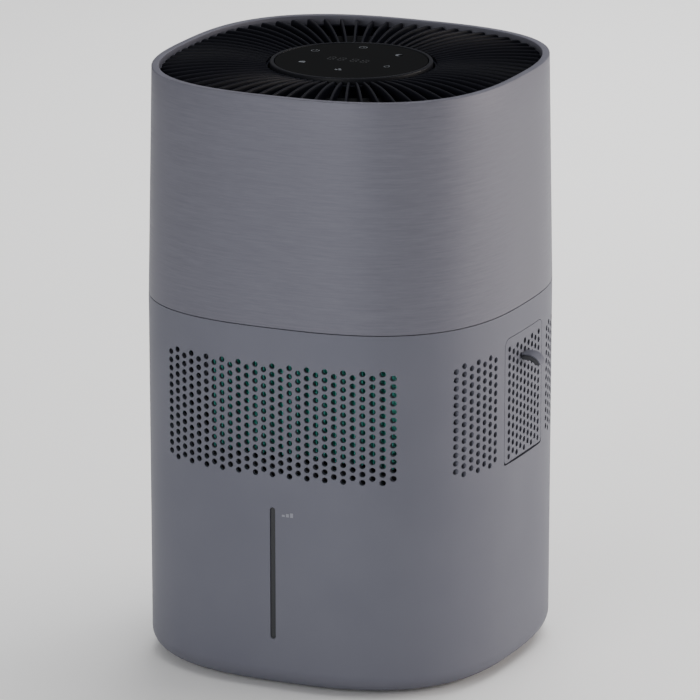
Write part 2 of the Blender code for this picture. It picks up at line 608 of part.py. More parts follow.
def make_duct():
    """Round duct with a flared lip; its square flange rests on the lower shell's tongue."""
    outer = DUCT_BORE + 2.4 * MM
    high = FLANGE_LOW + 3 * MM
    profile = [(DUCT_BORE, FLANGE_LOW + MM), (outer, FLANGE_LOW + MM), (outer, 338 * MM),
               (85 * MM, 341.5 * MM), (85 * MM, LIP_TOP - 1.5 * MM), (83 * MM, LIP_TOP),
               (74 * MM, LIP_TOP), (71 * MM, LIP_TOP - MM), (DUCT_BORE, LIP_TOP - 4 * MM)]
    duct = turned("fan_duct", profile, black_plastic(), 40)
    flange = plate("duct_flange", 3.1 * MM, FLANGE_LOW, high, black_plastic())
    mouth = rod("duct_mouth", DUCT_BORE + MM, FLANGE_LOW - MM, high + MM, black_plastic(), points=40)
    combine(flange, "DIFFERENCE", mouth)
    cup_low = 250 * MM
    cup = turned("motor_cup", [(4 * MM, cup_low), (24 * MM, cup_low), (24 * MM, cup_low + 9 * MM),
                               (21.6 * MM, cup_low + 9 * MM), (21.6 * MM, cup_low + 2.4 * MM),
                               (4 * MM, cup_low + 2.4 * MM)], black_plastic(), 32)
    arms = []
    for i in range(3):
        angle = math.radians(90 + 120 * i)
        along = np.array([math.cos(angle), math.sin(angle)])
        across = np.array([-along[1], along[0]]) * 3.5 * MM
        near, far = along * 22.5 * MM, along * (DUCT_BORE + 1.2 * MM)
        outline = [near - across, far - across, far + across, near + across]
        arms.append(extrude(f"spider_arm_{i}", outline, cup_low + 0.5 * MM, cup_low + 7 * MM,
                            black_plastic()))
    combine(duct, "UNION", flange, cup, *arms)
    places = [(12 * MM * math.cos(a), 12 * MM * math.sin(a))
              for a in (math.radians(30 + 120 * i) for i in range(3))]
    holes = [rod(f"motor_screw_hole_{i}", 1.9 * MM, cup_low - MM, cup_low + 7 * MM, steel(),
                 centre=place, points=10) for i, place in enumerate(places)]
    combine(duct, "DIFFERENCE", *holes)

    motor_low, motor_high = cup_low + 2.7 * MM, 286 * MM
    motor = turned("fan_motor", [(2.8 * MM, motor_low + 6 * MM), (2.8 * MM, motor_high),
                                 (8 * MM, motor_high), (9 * MM, motor_high - 2 * MM),
                                 (19 * MM, motor_high - 3 * MM), (21 * MM, motor_high - 6 * MM),
                                 (21 * MM, motor_low), (2.8 * MM, motor_low)][::-1], steel(), 32)
    combine(motor, "DIFFERENCE", *holes)
    for number, place in enumerate(places, 1):
        screw(f"motor_screw_{number}", place, cup_low - GAP, motor_low + 3.6 * MM)

    spin = axis_empty("fan_axis", (0, 0, 300 * MM))
    shaft = rod("motor_shaft", 2.5 * MM, motor_low + 1.2 * MM, 318 * MM, steel(), points=16)
    fan = make_impeller()
    hang(spin, shaft, fan)


def make_impeller():
    """Seven twisted blades on a hub; each blade is a warped plate from hub to tip."""
    low, high, hub_radius = 292 * MM, 320 * MM, 24 * MM
    fan = turned("fan_impeller", [(2.8 * MM, low), (2.8 * MM, high + 2 * MM), (19 * MM, high + 2 * MM),
                                  (hub_radius, high - 2 * MM), (hub_radius, low)][::-1],
                 black_plastic(), 40)
    blades = []
    spans = np.linspace(0, 1, 4)
    for number in range(7):
        sections = []
        for span in spans:
            radius = hub_radius - 1.5 * MM + span * (FAN_RADIUS - hub_radius + 1.5 * MM)
            chord_turn = math.radians(40 - 10 * span)
            rise = (high - low - 6 * MM) * (1 - 0.3 * span)
            middle = (low + high) / 2
            top, bottom = [], []
            for step in np.linspace(-0.5, 0.5, 4):
                angle = 2 * math.pi * number / 7 + chord_turn * step + math.radians(12) * span
                lift = middle + rise * (step + 0.12 * (1 - 4 * step * step))
                half = 0.9 * MM * (1 - 1.2 * step * step)
                for side, line in ((1, top), (-1, bottom)):
                    line.append((radius * math.cos(angle), radius * math.sin(angle),
                                 lift + side * half))
            sections.append(top + bottom[::-1])
        blades.append(loft(f"blade_{number}", sections, black_plastic()))
    return combine(fan, "UNION", *blades)


# ---- grille and touch panel ---------------------------------------------------------------
VANE_ROOT, VANE_PEAK = 349.6 * MM, 351.3 * MM
VANE_RUN, VANE_DROP = 7 * MM, 3.2 * MM
HUB_BORE, HUB_OUTER = 48.5 * MM, 50.6 * MM


def make_grille():
    """Radial vanes between a hub cup and an outer ring: each one rises from the hub in a
    shallow arch and rounds down at its outer end."""
    hub = turned("top_grille", [(HUB_BORE, 348 * MM), (HUB_BORE, 335 * MM), (6 * MM, 335 * MM),
                                (6 * MM, 332.5 * MM), (HUB_OUTER, 332.5 * MM),
                                (HUB_OUTER, 348 * MM)], black_plastic(), 48)
    ring = swept("grille_ring", [(4.4 * MM, 346 * MM), (4.4 * MM, 337.9 * MM),
                                 (7.4 * MM, 337.9 * MM), (7.4 * MM, 346 * MM)], black_plastic())
    verts, faces = [], []
    half = 0.7 * MM
    for number in range(VANES):
        angle = 2 * math.pi * (number + 0.5) / VANES
        along = np.array([math.cos(angle), math.sin(angle)])
        across = np.array([-along[1], along[0]]) * half
        spread = (abs(along[0]) ** SQUARENESS + abs(along[1]) ** SQUARENESS) ** (-1 / SQUARENESS)
        wall = (TOP_HALF - 4.8 * MM) * spread
        inner = HUB_OUTER - 1.2 * MM
        top = [(wall - VANE_RUN * (1 - math.cos(t)), VANE_PEAK - VANE_DROP * (1 - math.sin(t)))
               for t in np.linspace(0, math.pi / 2, 3)]
        top += [(inner + (wall - VANE_RUN - inner) * u,
                 VANE_PEAK - (VANE_PEAK - VANE_ROOT) * (1 - u) ** 2) for u in (0.6, 0.25, 0)]
        profile = [(inner, LIP_TOP + GAP), (wall, LIP_TOP + GAP)] + top
        start = len(verts)
        for side in (-1, 1):
            verts += [(*(along * r + side * across), z) for r, z in profile]
        count = len(profile)
        faces.append(tuple(start + i for i in range(count)))
        faces.append(tuple(start + count + i for i in range(count)))
        for i in range(count):
            k = (i + 1) % count
            faces.append((start + i, start + k, start + count + k, start + count + i))
    vanes = link_mesh("grille_vanes", verts, faces, black_plastic())
    return combine(hub, "UNION", ring, vanes)


def make_panel():
    """Round control panel: a cup, the board with its lamps, and the touch glass."""
    ring_top = 350 * MM
    ring_wall = PANEL_RADIUS - GLASS_RADIUS - GAP
    seat = 346 * MM
    turned("panel_housing", [(PANEL_RADIUS - 0.4 * MM, ring_top), (PANEL_RADIUS, ring_top - 0.4 * MM),
                             (PANEL_RADIUS, 335.3 * MM), (6 * MM, 335.3 * MM), (6 * MM, 337.5 * MM),
                             (42.5 * MM, 337.5 * MM), (42.5 * MM, seat),
                             (PANEL_RADIUS - ring_wall, seat), (PANEL_RADIUS - ring_wall, ring_top)],
           dark_plastic(), 48)
    rod("touch_glass", GLASS_RADIUS, seat + GAP, ring_top - GAP,
        finish("touch_glass", (0.01, 0.01, 0.012), 0.08), points=48)
    board = rod("display_board", 41.5 * MM, 341 * MM, 342.6 * MM,
                finish("circuit_board", (0.02, 0.12, 0.05), 0.4), points=40)
    display = box("digit_display", (-14 * MM, -10 * MM, 342 * MM), (14 * MM, 4 * MM, 345.4 * MM),
                  black_plastic())
    combine(board, "UNION", display)


def build():
    for thing in list(bpy.data.objects):
        bpy.data.objects.remove(thing, do_unlink=True)
    make_lower_shell()
    make_upper_shell()
    make_base()
    make_level_lens()
    make_door()
    make_tank()
    make_deck()
    make_cooling_block()
    make_duct()
    make_grille()
    make_panel()


build()
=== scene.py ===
import math

import bmesh
import bpy
import numpy as np
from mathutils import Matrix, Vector


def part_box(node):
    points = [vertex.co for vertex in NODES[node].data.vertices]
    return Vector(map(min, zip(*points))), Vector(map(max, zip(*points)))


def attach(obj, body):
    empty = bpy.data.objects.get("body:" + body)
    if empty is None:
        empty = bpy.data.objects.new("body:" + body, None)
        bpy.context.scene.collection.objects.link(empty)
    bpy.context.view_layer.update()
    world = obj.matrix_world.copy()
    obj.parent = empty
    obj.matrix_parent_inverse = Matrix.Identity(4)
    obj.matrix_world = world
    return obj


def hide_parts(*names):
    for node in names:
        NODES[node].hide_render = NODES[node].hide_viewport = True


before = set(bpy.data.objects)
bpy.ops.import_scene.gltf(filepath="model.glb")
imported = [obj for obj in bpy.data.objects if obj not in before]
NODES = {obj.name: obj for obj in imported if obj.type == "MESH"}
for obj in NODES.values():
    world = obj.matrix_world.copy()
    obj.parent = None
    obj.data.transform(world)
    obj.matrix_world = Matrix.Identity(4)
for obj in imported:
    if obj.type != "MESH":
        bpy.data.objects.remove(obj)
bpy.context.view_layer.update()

MM = 0.001


# ==== Studio: floor, lights and camera =====================================================
# A pale floor under soft boxes: a strong low one behind the right corner, a weaker one in front,
# one overhead and one that lights the floor behind. The last two don't show in glossy surfaces.
def linear(hex_colour):
    """An sRGB hex colour as linear RGBA."""
    parts = [int(hex_colour[i:i + 2], 16) / 255 for i in (1, 3, 5)]
    return [c / 12.92 if c <= 0.04045 else ((c + 0.055) / 1.055) ** 2.4 for c in parts] + [1.0]


def new_material(name, colour, roughness, metallic=0.0, **sockets):
    """A Principled material with its plain values on the shader itself."""
    made = bpy.data.materials.new(name)
    made.use_nodes = True
    shader = made.node_tree.nodes["Principled BSDF"]
    shader.inputs["Base Color"].default_value = linear(colour)
    shader.inputs["Roughness"].default_value = roughness
    shader.inputs["Metallic"].default_value = metallic
    for socket, value in sockets.items():
        shader.inputs[socket.replace("_", " ")].default_value = value
    return made, made.node_tree, shader


def add(tree, kind, inputs=None, **settings):
    """A node with its settings; each input is a value or another node's output."""
    made = tree.nodes.new(kind)
    for key, value in settings.items():
        setattr(made, key, value)
    for socket, value in (inputs or {}).items():
        if isinstance(value, bpy.types.NodeSocket):
            tree.links.new(value, made.inputs[socket])
        else:
            made.inputs[socket].default_value = value
    return made


def aim(thing, target):
    """Turn a lamp or camera to look at a point."""
    thing.rotation_euler = (Vector(target) - thing.location).to_track_quat("-Z", "Y").to_euler()


def direction(azimuth, elevation):
    """Unit vector towards an azimuth (0 in front, 90 to the right) and elevation, in degrees."""
    a, e = math.radians(azimuth), math.radians(elevation)
    return Vector((math.sin(a) * math.cos(e), -math.cos(a) * math.cos(e), math.sin(e)))


MIDDLE = Vector((0, 0, 0.17))


def softbox(name, azimuth, elevation, distance, width, height, power, target=MIDDLE):
    """A rectangular lamp looking at the target from that side."""
    data = bpy.data.lights.new(name, "AREA")
    data.shape = "RECTANGLE"
    data.size, data.size_y, data.energy = width, height, power
    lamp = bpy.data.objects.new(name, data)
    bpy.context.scene.collection.objects.link(lamp)
    lamp.location = MIDDLE + direction(azimuth, elevation) * distance
    aim(lamp, target)
    lamp.visible_camera = False
    return lamp


warm_lamp = softbox("box_right", 118, 2, 1.8, 1.5, 1.4, 42.0)
warm_lamp.data.color = linear("#fff6ee")[:3]
softbox("box_front", -4, 10, 1.8, 1.0, 1.2, 18.0)
for lamp in (softbox("box_top", 0, 85, 2.0, 2.0, 2.0, 18.0),
             softbox("box_back", 180, 42, 2.2, 2.0, 1.6, 55.0, target=(0, 0.9, 0))):
    lamp.visible_glossy = False

world = bpy.data.worlds.new("studio")
bpy.context.scene.world = world
world.use_nodes = True
world.node_tree.nodes["Background"].inputs["Color"].default_value = linear("#fbfaf9")
world.node_tree.nodes["Background"].inputs["Strength"].default_value = 0.16

paper, tree, shader = new_material("matt_paper_floor", "#ffffff", 0.9)
grain = add(tree, "ShaderNodeTexNoise", {"Scale": 40.0, "Detail": 4.0})
tint = add(tree, "ShaderNodeMix", {"Factor": grain.outputs["Fac"], "A": linear("#fbfbfb"),
                                   "B": linear("#ffffff")}, data_type="RGBA")
tree.links.new(tint.outputs["Result"], shader.inputs["Base Color"])
floor_data = bpy.data.meshes.new("floor")
reach = 6.0
floor_data.from_pydata([(-reach, -reach, 0), (reach, -reach, 0), (reach, reach, 0),
                        (-reach, reach, 0)], [], [(0, 1, 2, 3)])
floor_data.materials.append(paper)
floor = bpy.data.objects.new("floor", floor_data)
bpy.context.scene.collection.objects.link(floor)

lens = bpy.data.cameras.new("camera")
lens.lens, lens.sensor_width = 329.5, 36.0
lens.clip_start, lens.clip_end = 0.1, 50
camera = bpy.data.objects.new("camera", lens)
bpy.context.scene.collection.objects.link(camera)
AZIMUTH, ELEVATION, DISTANCE = 24.305, 15.724, 3.7452
back = direction(AZIMUTH, ELEVATION)
target = Vector((0, 0, 0.1761)) + Vector((back.y, -back.x, 0)).normalized() * 0.0008
camera.location = target + back * DISTANCE
aim(camera, target)
bpy.context.scene.camera = camera


# ==== Lower shell ==========================================================================
# Injection-moulded ABS shell in slate grey with a fine matt texture. Staggered 3.5 mm holes are
# pierced square to each face in a band; the seam above it meets the brushed upper shell.
LOWER_LOW, LOWER_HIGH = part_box("lower_shell")
UPPER_LOW, UPPER_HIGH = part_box("upper_shell")
SQUARENESS = 2.74
WALL = 2.5 * MM
SEAM_HALF = (LOWER_HIGH.y - LOWER_LOW.y) / 2
BASE_Z, RIM_Z = LOWER_LOW.z, UPPER_HIGH.z
SEAM_Z = UPPER_LOW.z - 0.25 * MM
TOP_HALF, BASE_HALF = 107.6 * MM, 109.4 * MM
COLUMN_PITCH, ROW_PITCH, HOLE_RADIUS = 5.37 * MM, 4.945 * MM, 1.75 * MM
BAND_MIDDLE, BAND_ROWS = 162.55 * MM, 14
COLUMNS = 13                   # each side of a face's middle column
BAND_EDGE = (COLUMNS + 0.5) * COLUMN_PITCH
CORNER_STEPS = 8
CORNER = 4                     # station kinds from here on are corners, below they are faces


def half_width(z):
    """Half width of the casing at a height: widest at the seam, drafted in both ways."""
    up = SEAM_HALF + (TOP_HALF - SEAM_HALF) * (z - SEAM_Z) / (RIM_Z - SEAM_Z)
    down = SEAM_HALF + (BASE_HALF - SEAM_HALF) * (SEAM_Z - z) / (SEAM_Z - BASE_Z)
    return np.where(z > SEAM_Z, up, down)


def on_face(face, s, half):
    """Plan point on a superellipse of that half width, at distance s along face 0 to 3."""
    out = half * (1 - np.abs(s / half) ** SQUARENESS) ** (1 / SQUARENESS)
    x = np.choose(face, [s, out, -s, -out])
    y = np.choose(face, [-out, s, out, -s])
    return x, y


def plan(kind, value, half):
    """Plan points of stations: on a face at value, or in a corner at a share of its angle."""
    kind, value, half = np.broadcast_arrays(kind, value, half)
    face = kind % CORNER
    x, y = on_face(face, np.where(kind < CORNER, value, 0.0), half)
    x0, y0 = on_face(face, np.full(face.shape, BAND_EDGE), half)
    x1, y1 = on_face((face + 1) % 4, np.full(face.shape, -BAND_EDGE), half)
    start = np.arctan2(y0, x0)
    turn = (np.arctan2(y1, x1) - start) % (2 * math.pi)
    angle = start + turn * value
    c, s = np.cos(angle), np.sin(angle)
    radius = half * (np.abs(c) ** SQUARENESS + np.abs(s) ** SQUARENESS) ** (-1 / SQUARENESS)
    corner = kind >= CORNER
    return np.where(corner, radius * c, x), np.where(corner, radius * s, y)


def stations(pierced):
    """Round the casing: (kind, value, pierced strip?) with four steps in each pierced column."""
    kinds, values, holes = [], [], []
    for face in range(4):
        for column in range(-COLUMNS, COLUMNS + 1):
            is_pierced = column in pierced[face]
            for step in range(4 if is_pierced else 1):
                kinds.append(face)
                values.append((column - 0.5 + step / 4) * COLUMN_PITCH)
                holes.append(column if is_pierced else None)
        for step in range(CORNER_STEPS):
            kinds.append(CORNER + face)
            values.append(step / CORNER_STEPS)
            holes.append(None)
    return np.array(kinds), np.array(values), holes


def mesh_piece(name, verts, quads, material, merge=2e-6, sharp=35, polygons=()):
    """One mesh object from arrays of points and quads, merged, turned outwards and shaded."""
    data = bpy.data.meshes.new(name)
    faces = np.asarray(quads).reshape(-1, 4).tolist() + [list(p) for p in polygons]
    data.from_pydata(np.asarray(verts).reshape(-1, 3).tolist(), [], faces)
    work = bmesh.new()
    work.from_mesh(data)
    bmesh.ops.remove_doubles(work, verts=work.verts, dist=merge)
    bmesh.ops.dissolve_degenerate(work, edges=work.edges, dist=merge / 2)
    bmesh.ops.recalc_face_normals(work, faces=work.faces)
    work.to_mesh(data)
    work.free()
    data.shade_smooth()
    data.set_sharp_from_angle(angle=math.radians(sharp))
    data.materials.append(material)
    made = bpy.data.objects.new(name, data)
    bpy.context.scene.collection.objects.link(made)
    return made


def casing_wall(name, profile, material, pierced=((), (), (), ()), band=None):
    """A closed (inset, z) profile carried round the casing. Where a strip is pierced, the rows
    of the band give way to cells: a square of 16 points joined to a round hole of 16 points,
    on the outer and the inner face, with the hole's own wall between them."""
    kind, value, holes = stations(pierced)
    inset, z = np.array(profile).T
    x, y = plan(kind[None], value[None], (half_width(z) - inset)[:, None])
    verts = np.stack([x, y, np.broadcast_to(z[:, None], x.shape)], axis=2)
    rows, count = x.shape
    r, k = np.meshgrid(np.arange(rows), np.arange(count), indexing="ij")
    r2, k2 = (r + 1) % rows, (k + 1) % count
    quads = np.stack([r * count + k, r * count + k2, r2 * count + k2, r2 * count + k], axis=2)
    keep = np.ones((rows, count), bool)
    verts, parts = verts.reshape(-1, 3), []
    if band is not None:
        middles = (z + np.roll(z, -1)) / 2
        level = (middles[:, None] - band) / ROW_PITCH
        upright = (np.abs(np.roll(z, -1) - z) > 0)[:, None]
        odd = np.array([h is not None and h % 2 != 0 for h in holes])[None]
        reach = np.where(odd, BAND_ROWS / 2 - 0.5, BAND_ROWS / 2)
        is_hole = np.array([h is not None for h in holes])[None]
        keep = ~(upright & is_hole & (np.abs(level) < reach))
        parts = hole_cells(pierced, band)
    all_verts, all_quads, start = [verts], [quads[keep]], len(verts)
    for points, cells in parts:
        all_verts.append(points)
        all_quads.append(cells + start)
        start += len(points)
    return mesh_piece(name, np.concatenate(all_verts), np.concatenate(all_quads), material)


def hole_cells(pierced, band):
    """The cells of every hole: 16 points on a square outline and 16 on the hole, by array."""
    face, column, row = [], [], []
    for which in range(4):
        for c in pierced[which]:
            count = BAND_ROWS - abs(c) % 2
            face += [which] * count
            column += [c] * count
            row += [i - (count - 1) / 2 for i in range(count)]
    face = np.array(face)[:, None]
    s0 = np.array(column)[:, None] * COLUMN_PITCH
    z0 = band + np.array(row)[:, None] * ROW_PITCH
    turn = np.arange(16) * math.pi / 8
    c, s = np.cos(turn), np.sin(turn)
    stretch = np.maximum(np.abs(c), np.abs(s))
    square = np.round(np.stack([c / stretch, s / stretch]) / math.tan(math.pi / 8)) / 2
    made, rings = [], []
    for inset in (0.0, WALL):
        for shape in ("square", "hole"):
            if shape == "square":
                s, z = s0 + square[0] * COLUMN_PITCH / 2, z0 + square[1] * ROW_PITCH / 2
            else:
                s, z = s0 + np.cos(turn) * HOLE_RADIUS, z0 + np.sin(turn) * HOLE_RADIUS
            x, y = on_face(np.broadcast_to(face, s.shape), s, half_width(z) - inset)
            rings.append(np.stack([x, y, z], axis=2))
    count = len(face)
    verts = np.concatenate([ring.reshape(-1, 3) for ring in rings])
    start = np.arange(count)[:, None] * 16
    k, k2 = np.arange(16)[None], (np.arange(16)[None] + 1) % 16
    level = count * 16
    outer_square, outer_hole, inner_square, inner_hole = (start + i * level for i in range(4))
    for a, b in ((outer_square, outer_hole), (outer_hole, inner_hole), (inner_hole, inner_square)):
        made.append(np.stack([a + k, a + k2, b + k2, b + k], axis=2).reshape(-1, 4))
    return [(verts, np.concatenate(made))]


def quarter(inset, reach, floor, rise, steps):
    """Quarter ellipse from the wall down to the floor, as (inset, z)."""
    turn = np.linspace(math.pi / 2, 0, steps)
    return [(inset + reach * (1 - math.sin(t)), floor + rise * (1 - math.cos(t))) for t in turn]


def band_levels():
    """Heights of the band's rows, four steps to each row of holes."""
    low = BAND_MIDDLE - BAND_ROWS / 2 * ROW_PITCH
    return [low + i * ROW_PITCH / 4 for i in range(4 * BAND_ROWS + 1)]


def apply_boolean(piece, operation, *tools):
    """Cut or keep with closed tools, leave the result in the mesh and drop the tools."""
    for tool in tools:
        step = piece.modifiers.new("shape", "BOOLEAN")
        step.operation, step.solver, step.object = operation, "MANIFOLD", tool
        bpy.context.view_layer.update()
        ready = piece.evaluated_get(bpy.context.evaluated_depsgraph_get())
        before = piece.data
        piece.data = bpy.data.meshes.new_from_object(ready)
        piece.modifiers.clear()
        piece.data.name = piece.name
        bpy.data.meshes.remove(before)
        bpy.data.objects.remove(tool)
    return piece


def prisms(name, outlines, low, high, axis, material=None):
    """Closed prisms across an axis, one to each 2-D outline (x: y,z  y: x,z  z: x,y)."""
    order = {"x": (2, 0, 1), "y": (0, 2, 1), "z": (0, 1, 2)}[axis]
    verts, quads, caps, start = [], [], [], 0
    for outline in outlines:
        outline = np.asarray(outline, float)
        count = len(outline)
        for level in (low, high):
            columns = (outline[:, 0], outline[:, 1], np.full(count, level))
            verts.append(np.stack([columns[i] for i in order], axis=1))
        k, k2 = np.arange(count), (np.arange(count) + 1) % count
        quads.append(np.stack([k, k2, k2 + count, k + count], axis=1) + start)
        caps += [range(start, start + count), range(start + count, start + 2 * count)]
        start += 2 * count
    return mesh_piece(name, np.concatenate(verts), np.concatenate(quads), material or paper,
                      polygons=caps)


def prism(name, outline, low, high, axis, material=None):
    """One closed prism, as above."""
    return prisms(name, [outline], low, high, axis, material)


def rounded(u0, u1, v0, v1, radius, steps=8):
    """A rectangle with round corners."""
    points = []
    corners = ((u1 - radius, v1 - radius), (u0 + radius, v1 - radius),
               (u0 + radius, v0 + radius), (u1 - radius, v0 + radius))
    for q, (u, v) in enumerate(corners):
        for step in range(steps + 1):
            angle = math.pi / 2 * (q + step / steps)
            points.append((u + radius * math.cos(angle), v + radius * math.sin(angle)))
    return points


def moulded(name, dark, light, smooth, rough, relief=0.05 * MM, metallic=0.0, **sockets):
    """Moulded plastic or rubber with a spark-eroded skin: a faint mottle, uneven gloss and a
    fine even relief that spreads the highlights."""
    made, tree, shader = new_material(name, light, rough, metallic, **sockets)
    place = add(tree, "ShaderNodeTexCoord").outputs["Object"]
    # the real grain is about 0.1 mm; it is drawn at 0.5 mm so that it shows
    fine = add(tree, "ShaderNodeTexNoise", {"Vector": place, "Scale": 1 / (0.5 * MM), "Detail": 3.0})
    cloud = add(tree, "ShaderNodeTexNoise", {"Vector": place, "Scale": 1 / (45 * MM),
                                             "Detail": 2.0})
    shade = add(tree, "ShaderNodeMix", {"Factor": cloud.outputs["Fac"], "A": linear(dark),
                                        "B": linear(light)}, data_type="RGBA")
    gloss = add(tree, "ShaderNodeMapRange", {"Value": fine.outputs["Fac"], "To Min": smooth,
                                             "To Max": rough})
    bump = add(tree, "ShaderNodeBump", {"Height": fine.outputs["Fac"], "Strength": 0.06,
                                        "Distance": relief})
    tree.links.new(shade.outputs["Result"], shader.inputs["Base Color"])
    tree.links.new(gloss.outputs["Result"], shader.inputs["Roughness"])
    tree.links.new(bump.outputs["Normal"], shader.inputs["Normal"])
    return made


def finish_piece(piece, material, body, slot, *nodes):
    """One material all over, shading split at real edges, and the piece's place in the frame."""
    piece.data.materials.clear()
    piece.data.materials.append(material)
    piece.data.polygons.foreach_set("material_index", [0] * len(piece.data.polygons))
    piece.data.shade_smooth()
    piece.data.set_sharp_from_angle(angle=math.radians(35))
    if nodes:
        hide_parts(*nodes)
    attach(piece, body)


slate = moulded("moulded_abs_slate", "#5f606b", "#676872", 0.44, 0.54, metallic=0.15,
                Specular_IOR_Level=0.12)
EVERY_COLUMN = tuple(range(-COLUMNS, COLUMNS + 1))
SIDE_COLUMNS = tuple(c for c in EVERY_COLUMN if abs(c) >= 7)
ledge = 115.3 * MM
top = SEAM_Z - 0.25 * MM
levels = band_levels()
outside = [(0, top), (0, top - 0.6 * MM), (0, 208 * MM)] + [(0, z) for z in levels[::-1]]
outside += [(0, 120 * MM), (0, 70 * MM)] + quarter(0, 15 * MM, BASE_Z, 12.8 * MM, 12)
inside = quarter(WALL, 12.5 * MM, BASE_Z + WALL, 10.3 * MM, 8)[::-1]
inside = [(24 * MM, BASE_Z), (24 * MM, BASE_Z + WALL)] + inside
inside += [(WALL, 70 * MM), (WALL, ledge - 2.7 * MM), (5 * MM, ledge - 1.2 * MM),
           (5 * MM, ledge), (WALL, ledge)]
inside += [(WALL, z) for z in levels]
inside += [(WALL, 204 * MM), (4.8 * MM, 208 * MM), (4.8 * MM, 222.7 * MM),
           (2.8 * MM, 222.7 * MM), (2.8 * MM, top)]
lower_shell = casing_wall("lower_shell_pierced", outside + inside, slate,
                          (EVERY_COLUMN, SIDE_COLUMNS, SIDE_COLUMNS, EVERY_COLUMN), BAND_MIDDLE)

DOOR_LOW, DOOR_HIGH = 126.8 * MM, 201.3 * MM
DOOR_HALF, DOOR_CORNER, DOOR_GAP = 27 * MM, 5 * MM, 0.35 * MM


def door_outline(grow, drop, low_corner):
    """The door, or its opening, which is larger all round: the lower corners are tighter."""
    wide, low, high = DOOR_HALF + grow, DOOR_LOW - grow - drop, DOOR_HIGH + grow
    upper = rounded(-wide, wide, low, high, DOOR_CORNER + grow)
    lower = rounded(-wide, wide, low, high, low_corner)
    half = len(upper) // 2
    return upper[:half] + lower[half:]


SLOT_HALF, SLOT_LOW, SLOT_HIGH = 1.7 * MM, 31.5 * MM, 110.7 * MM
bosses = [prism("boss", [(104.4 * MM, 125 * MM), (108.2 * MM, 125 * MM), (108.2 * MM, 133 * MM),
                         (104.4 * MM, 133 * MM)], *sorted((side * 27.1 * MM, side * 32 * MM)), "y")
          for side in (-1, 1)]
apply_boolean(lower_shell, "UNION", *bosses)
door_cut = prism("cut", door_outline(DOOR_GAP, 0.45 * MM, 1.6 * MM), 100 * MM, 116 * MM, "x")
slot_cut = prism("cut", rounded(-SLOT_HALF, SLOT_HALF, SLOT_LOW, SLOT_HIGH, SLOT_HALF - 1e-5),
                 -114 * MM, -100 * MM, "y")
tank_cut = prism("cut", [(-84 * MM, 18.5 * MM), (84 * MM, 18.5 * MM), (84 * MM, 116.5 * MM),
                         (-84 * MM, 116.5 * MM)], 60 * MM, 130 * MM, "y")
inlet_cut = prism("cut", [(-11 * MM, 127 * MM), (11 * MM, 127 * MM), (11 * MM, 145 * MM),
                          (-11 * MM, 145 * MM)], 100 * MM, 116 * MM, "y")
apply_boolean(lower_shell, "DIFFERENCE", door_cut, slot_cut, tank_cut, inlet_cut)
finish_piece(lower_shell, slate, "casing", "smooth_case", "lower_shell")


# ==== Base plate, feet and screws ==========================================================
# A charcoal ABS floor plate rests on the shell's bottom flange, with two runners for the tank
# and a centre pad. Four zinc-plated screws hold it, and soft rubber feet are glued under it.
def dress(material, *names):
    """Give carried-over nodes their material."""
    for name in names:
        for place in NODES[name].material_slots:
            place.material = material


def zinc_plate():
    """Bright zinc plating: a cool metal with slightly uneven gloss."""
    made, tree, shader = new_material("zinc_plated_steel", "#b4b7ba", 0.3, 1.0)
    place = add(tree, "ShaderNodeTexCoord").outputs["Object"]
    # plating bloom is patchy at about 1.5 mm
    bloom = add(tree, "ShaderNodeTexNoise", {"Vector": place, "Scale": 1 / (1.5 * MM),
                                             "Detail": 3.0})
    shade = add(tree, "ShaderNodeMix", {"Factor": bloom.outputs["Fac"], "A": linear("#a3a7ab"),
                                        "B": linear("#c3c5c6")}, data_type="RGBA")
    gloss = add(tree, "ShaderNodeMapRange", {"Value": bloom.outputs["Fac"], "To Min": 0.22,
                                             "To Max": 0.42})
    tree.links.new(shade.outputs["Result"], shader.inputs["Base Color"])
    tree.links.new(gloss.outputs["Result"], shader.inputs["Roughness"])
    return made


charcoal = moulded("moulded_abs_charcoal", "#26272c", "#303137", 0.5, 0.6)
rubber = moulded("moulded_rubber", "#141416", "#1d1d20", 0.75, 0.9)
zinc = zinc_plate()
dress(charcoal, "base_plate")
dress(rubber, "foot_1", "foot_2", "foot_3", "foot_4")
dress(zinc, "base_screw_1", "base_screw_2", "base_screw_3", "base_screw_4")


# ==== Level lens ===========================================================================
# A strip of smoked polycarbonate pressed into the front slot from inside, so its face sits just
# below the wall. A pad-printed mark beside its top end shows the full level.
def extent(name):
    """A node's lowest and highest corners as x0, x1, y0, y1, z0, z1."""
    low_corner, high_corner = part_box(name)
    return [c for pair in zip(low_corner, high_corner) for c in pair]


smoked = moulded("smoked_polycarbonate", "#14161c", "#1b1e25", 0.16, 0.24, 0.01)
x0, x1, y0, y1, z0, z1 = extent("level_lens")
lens_half = SLOT_HALF - 0.3 * MM
strip = prism("level_lens_strip", rounded(-lens_half, lens_half, SLOT_LOW + 0.3 * MM,
                                          SLOT_HIGH - 0.3 * MM, lens_half - 1e-5), y0, y1, "y")
back_plate = prism("flange", rounded(x0, x1, z0, z1, 3 * MM), y1 - MM, y1, "y")
apply_boolean(strip, "UNION", back_plate)
finish_piece(strip, smoked, "casing", "clear_plastic", "level_lens")

MARK_X, MARK_Z = 9.4 * MM, 107.5 * MM
MARK_LOW = MARK_Z - 1.6 * MM
mark_ink = moulded("pad_print_grey", "#7e7f89", "#868791", 0.4, 0.5)
mark_y = -float(half_width(MARK_Z))
bars = []
for number in range(3):
    middle, half = MARK_X + (number - 1) * 2.6 * MM, 0.9 * MM
    mark_high = MARK_LOW + (0.9 + 0.55 * number) * MM * 1.3
    bars.append([(middle - half, MARK_LOW), (middle + half, MARK_LOW),
                 (middle + half, mark_high), (middle - half, mark_high)])
level_mark = prisms("level_mark", bars, mark_y - 0.06 * MM, mark_y + 0.3 * MM, "y", mark_ink)
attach(level_mark, "casing")


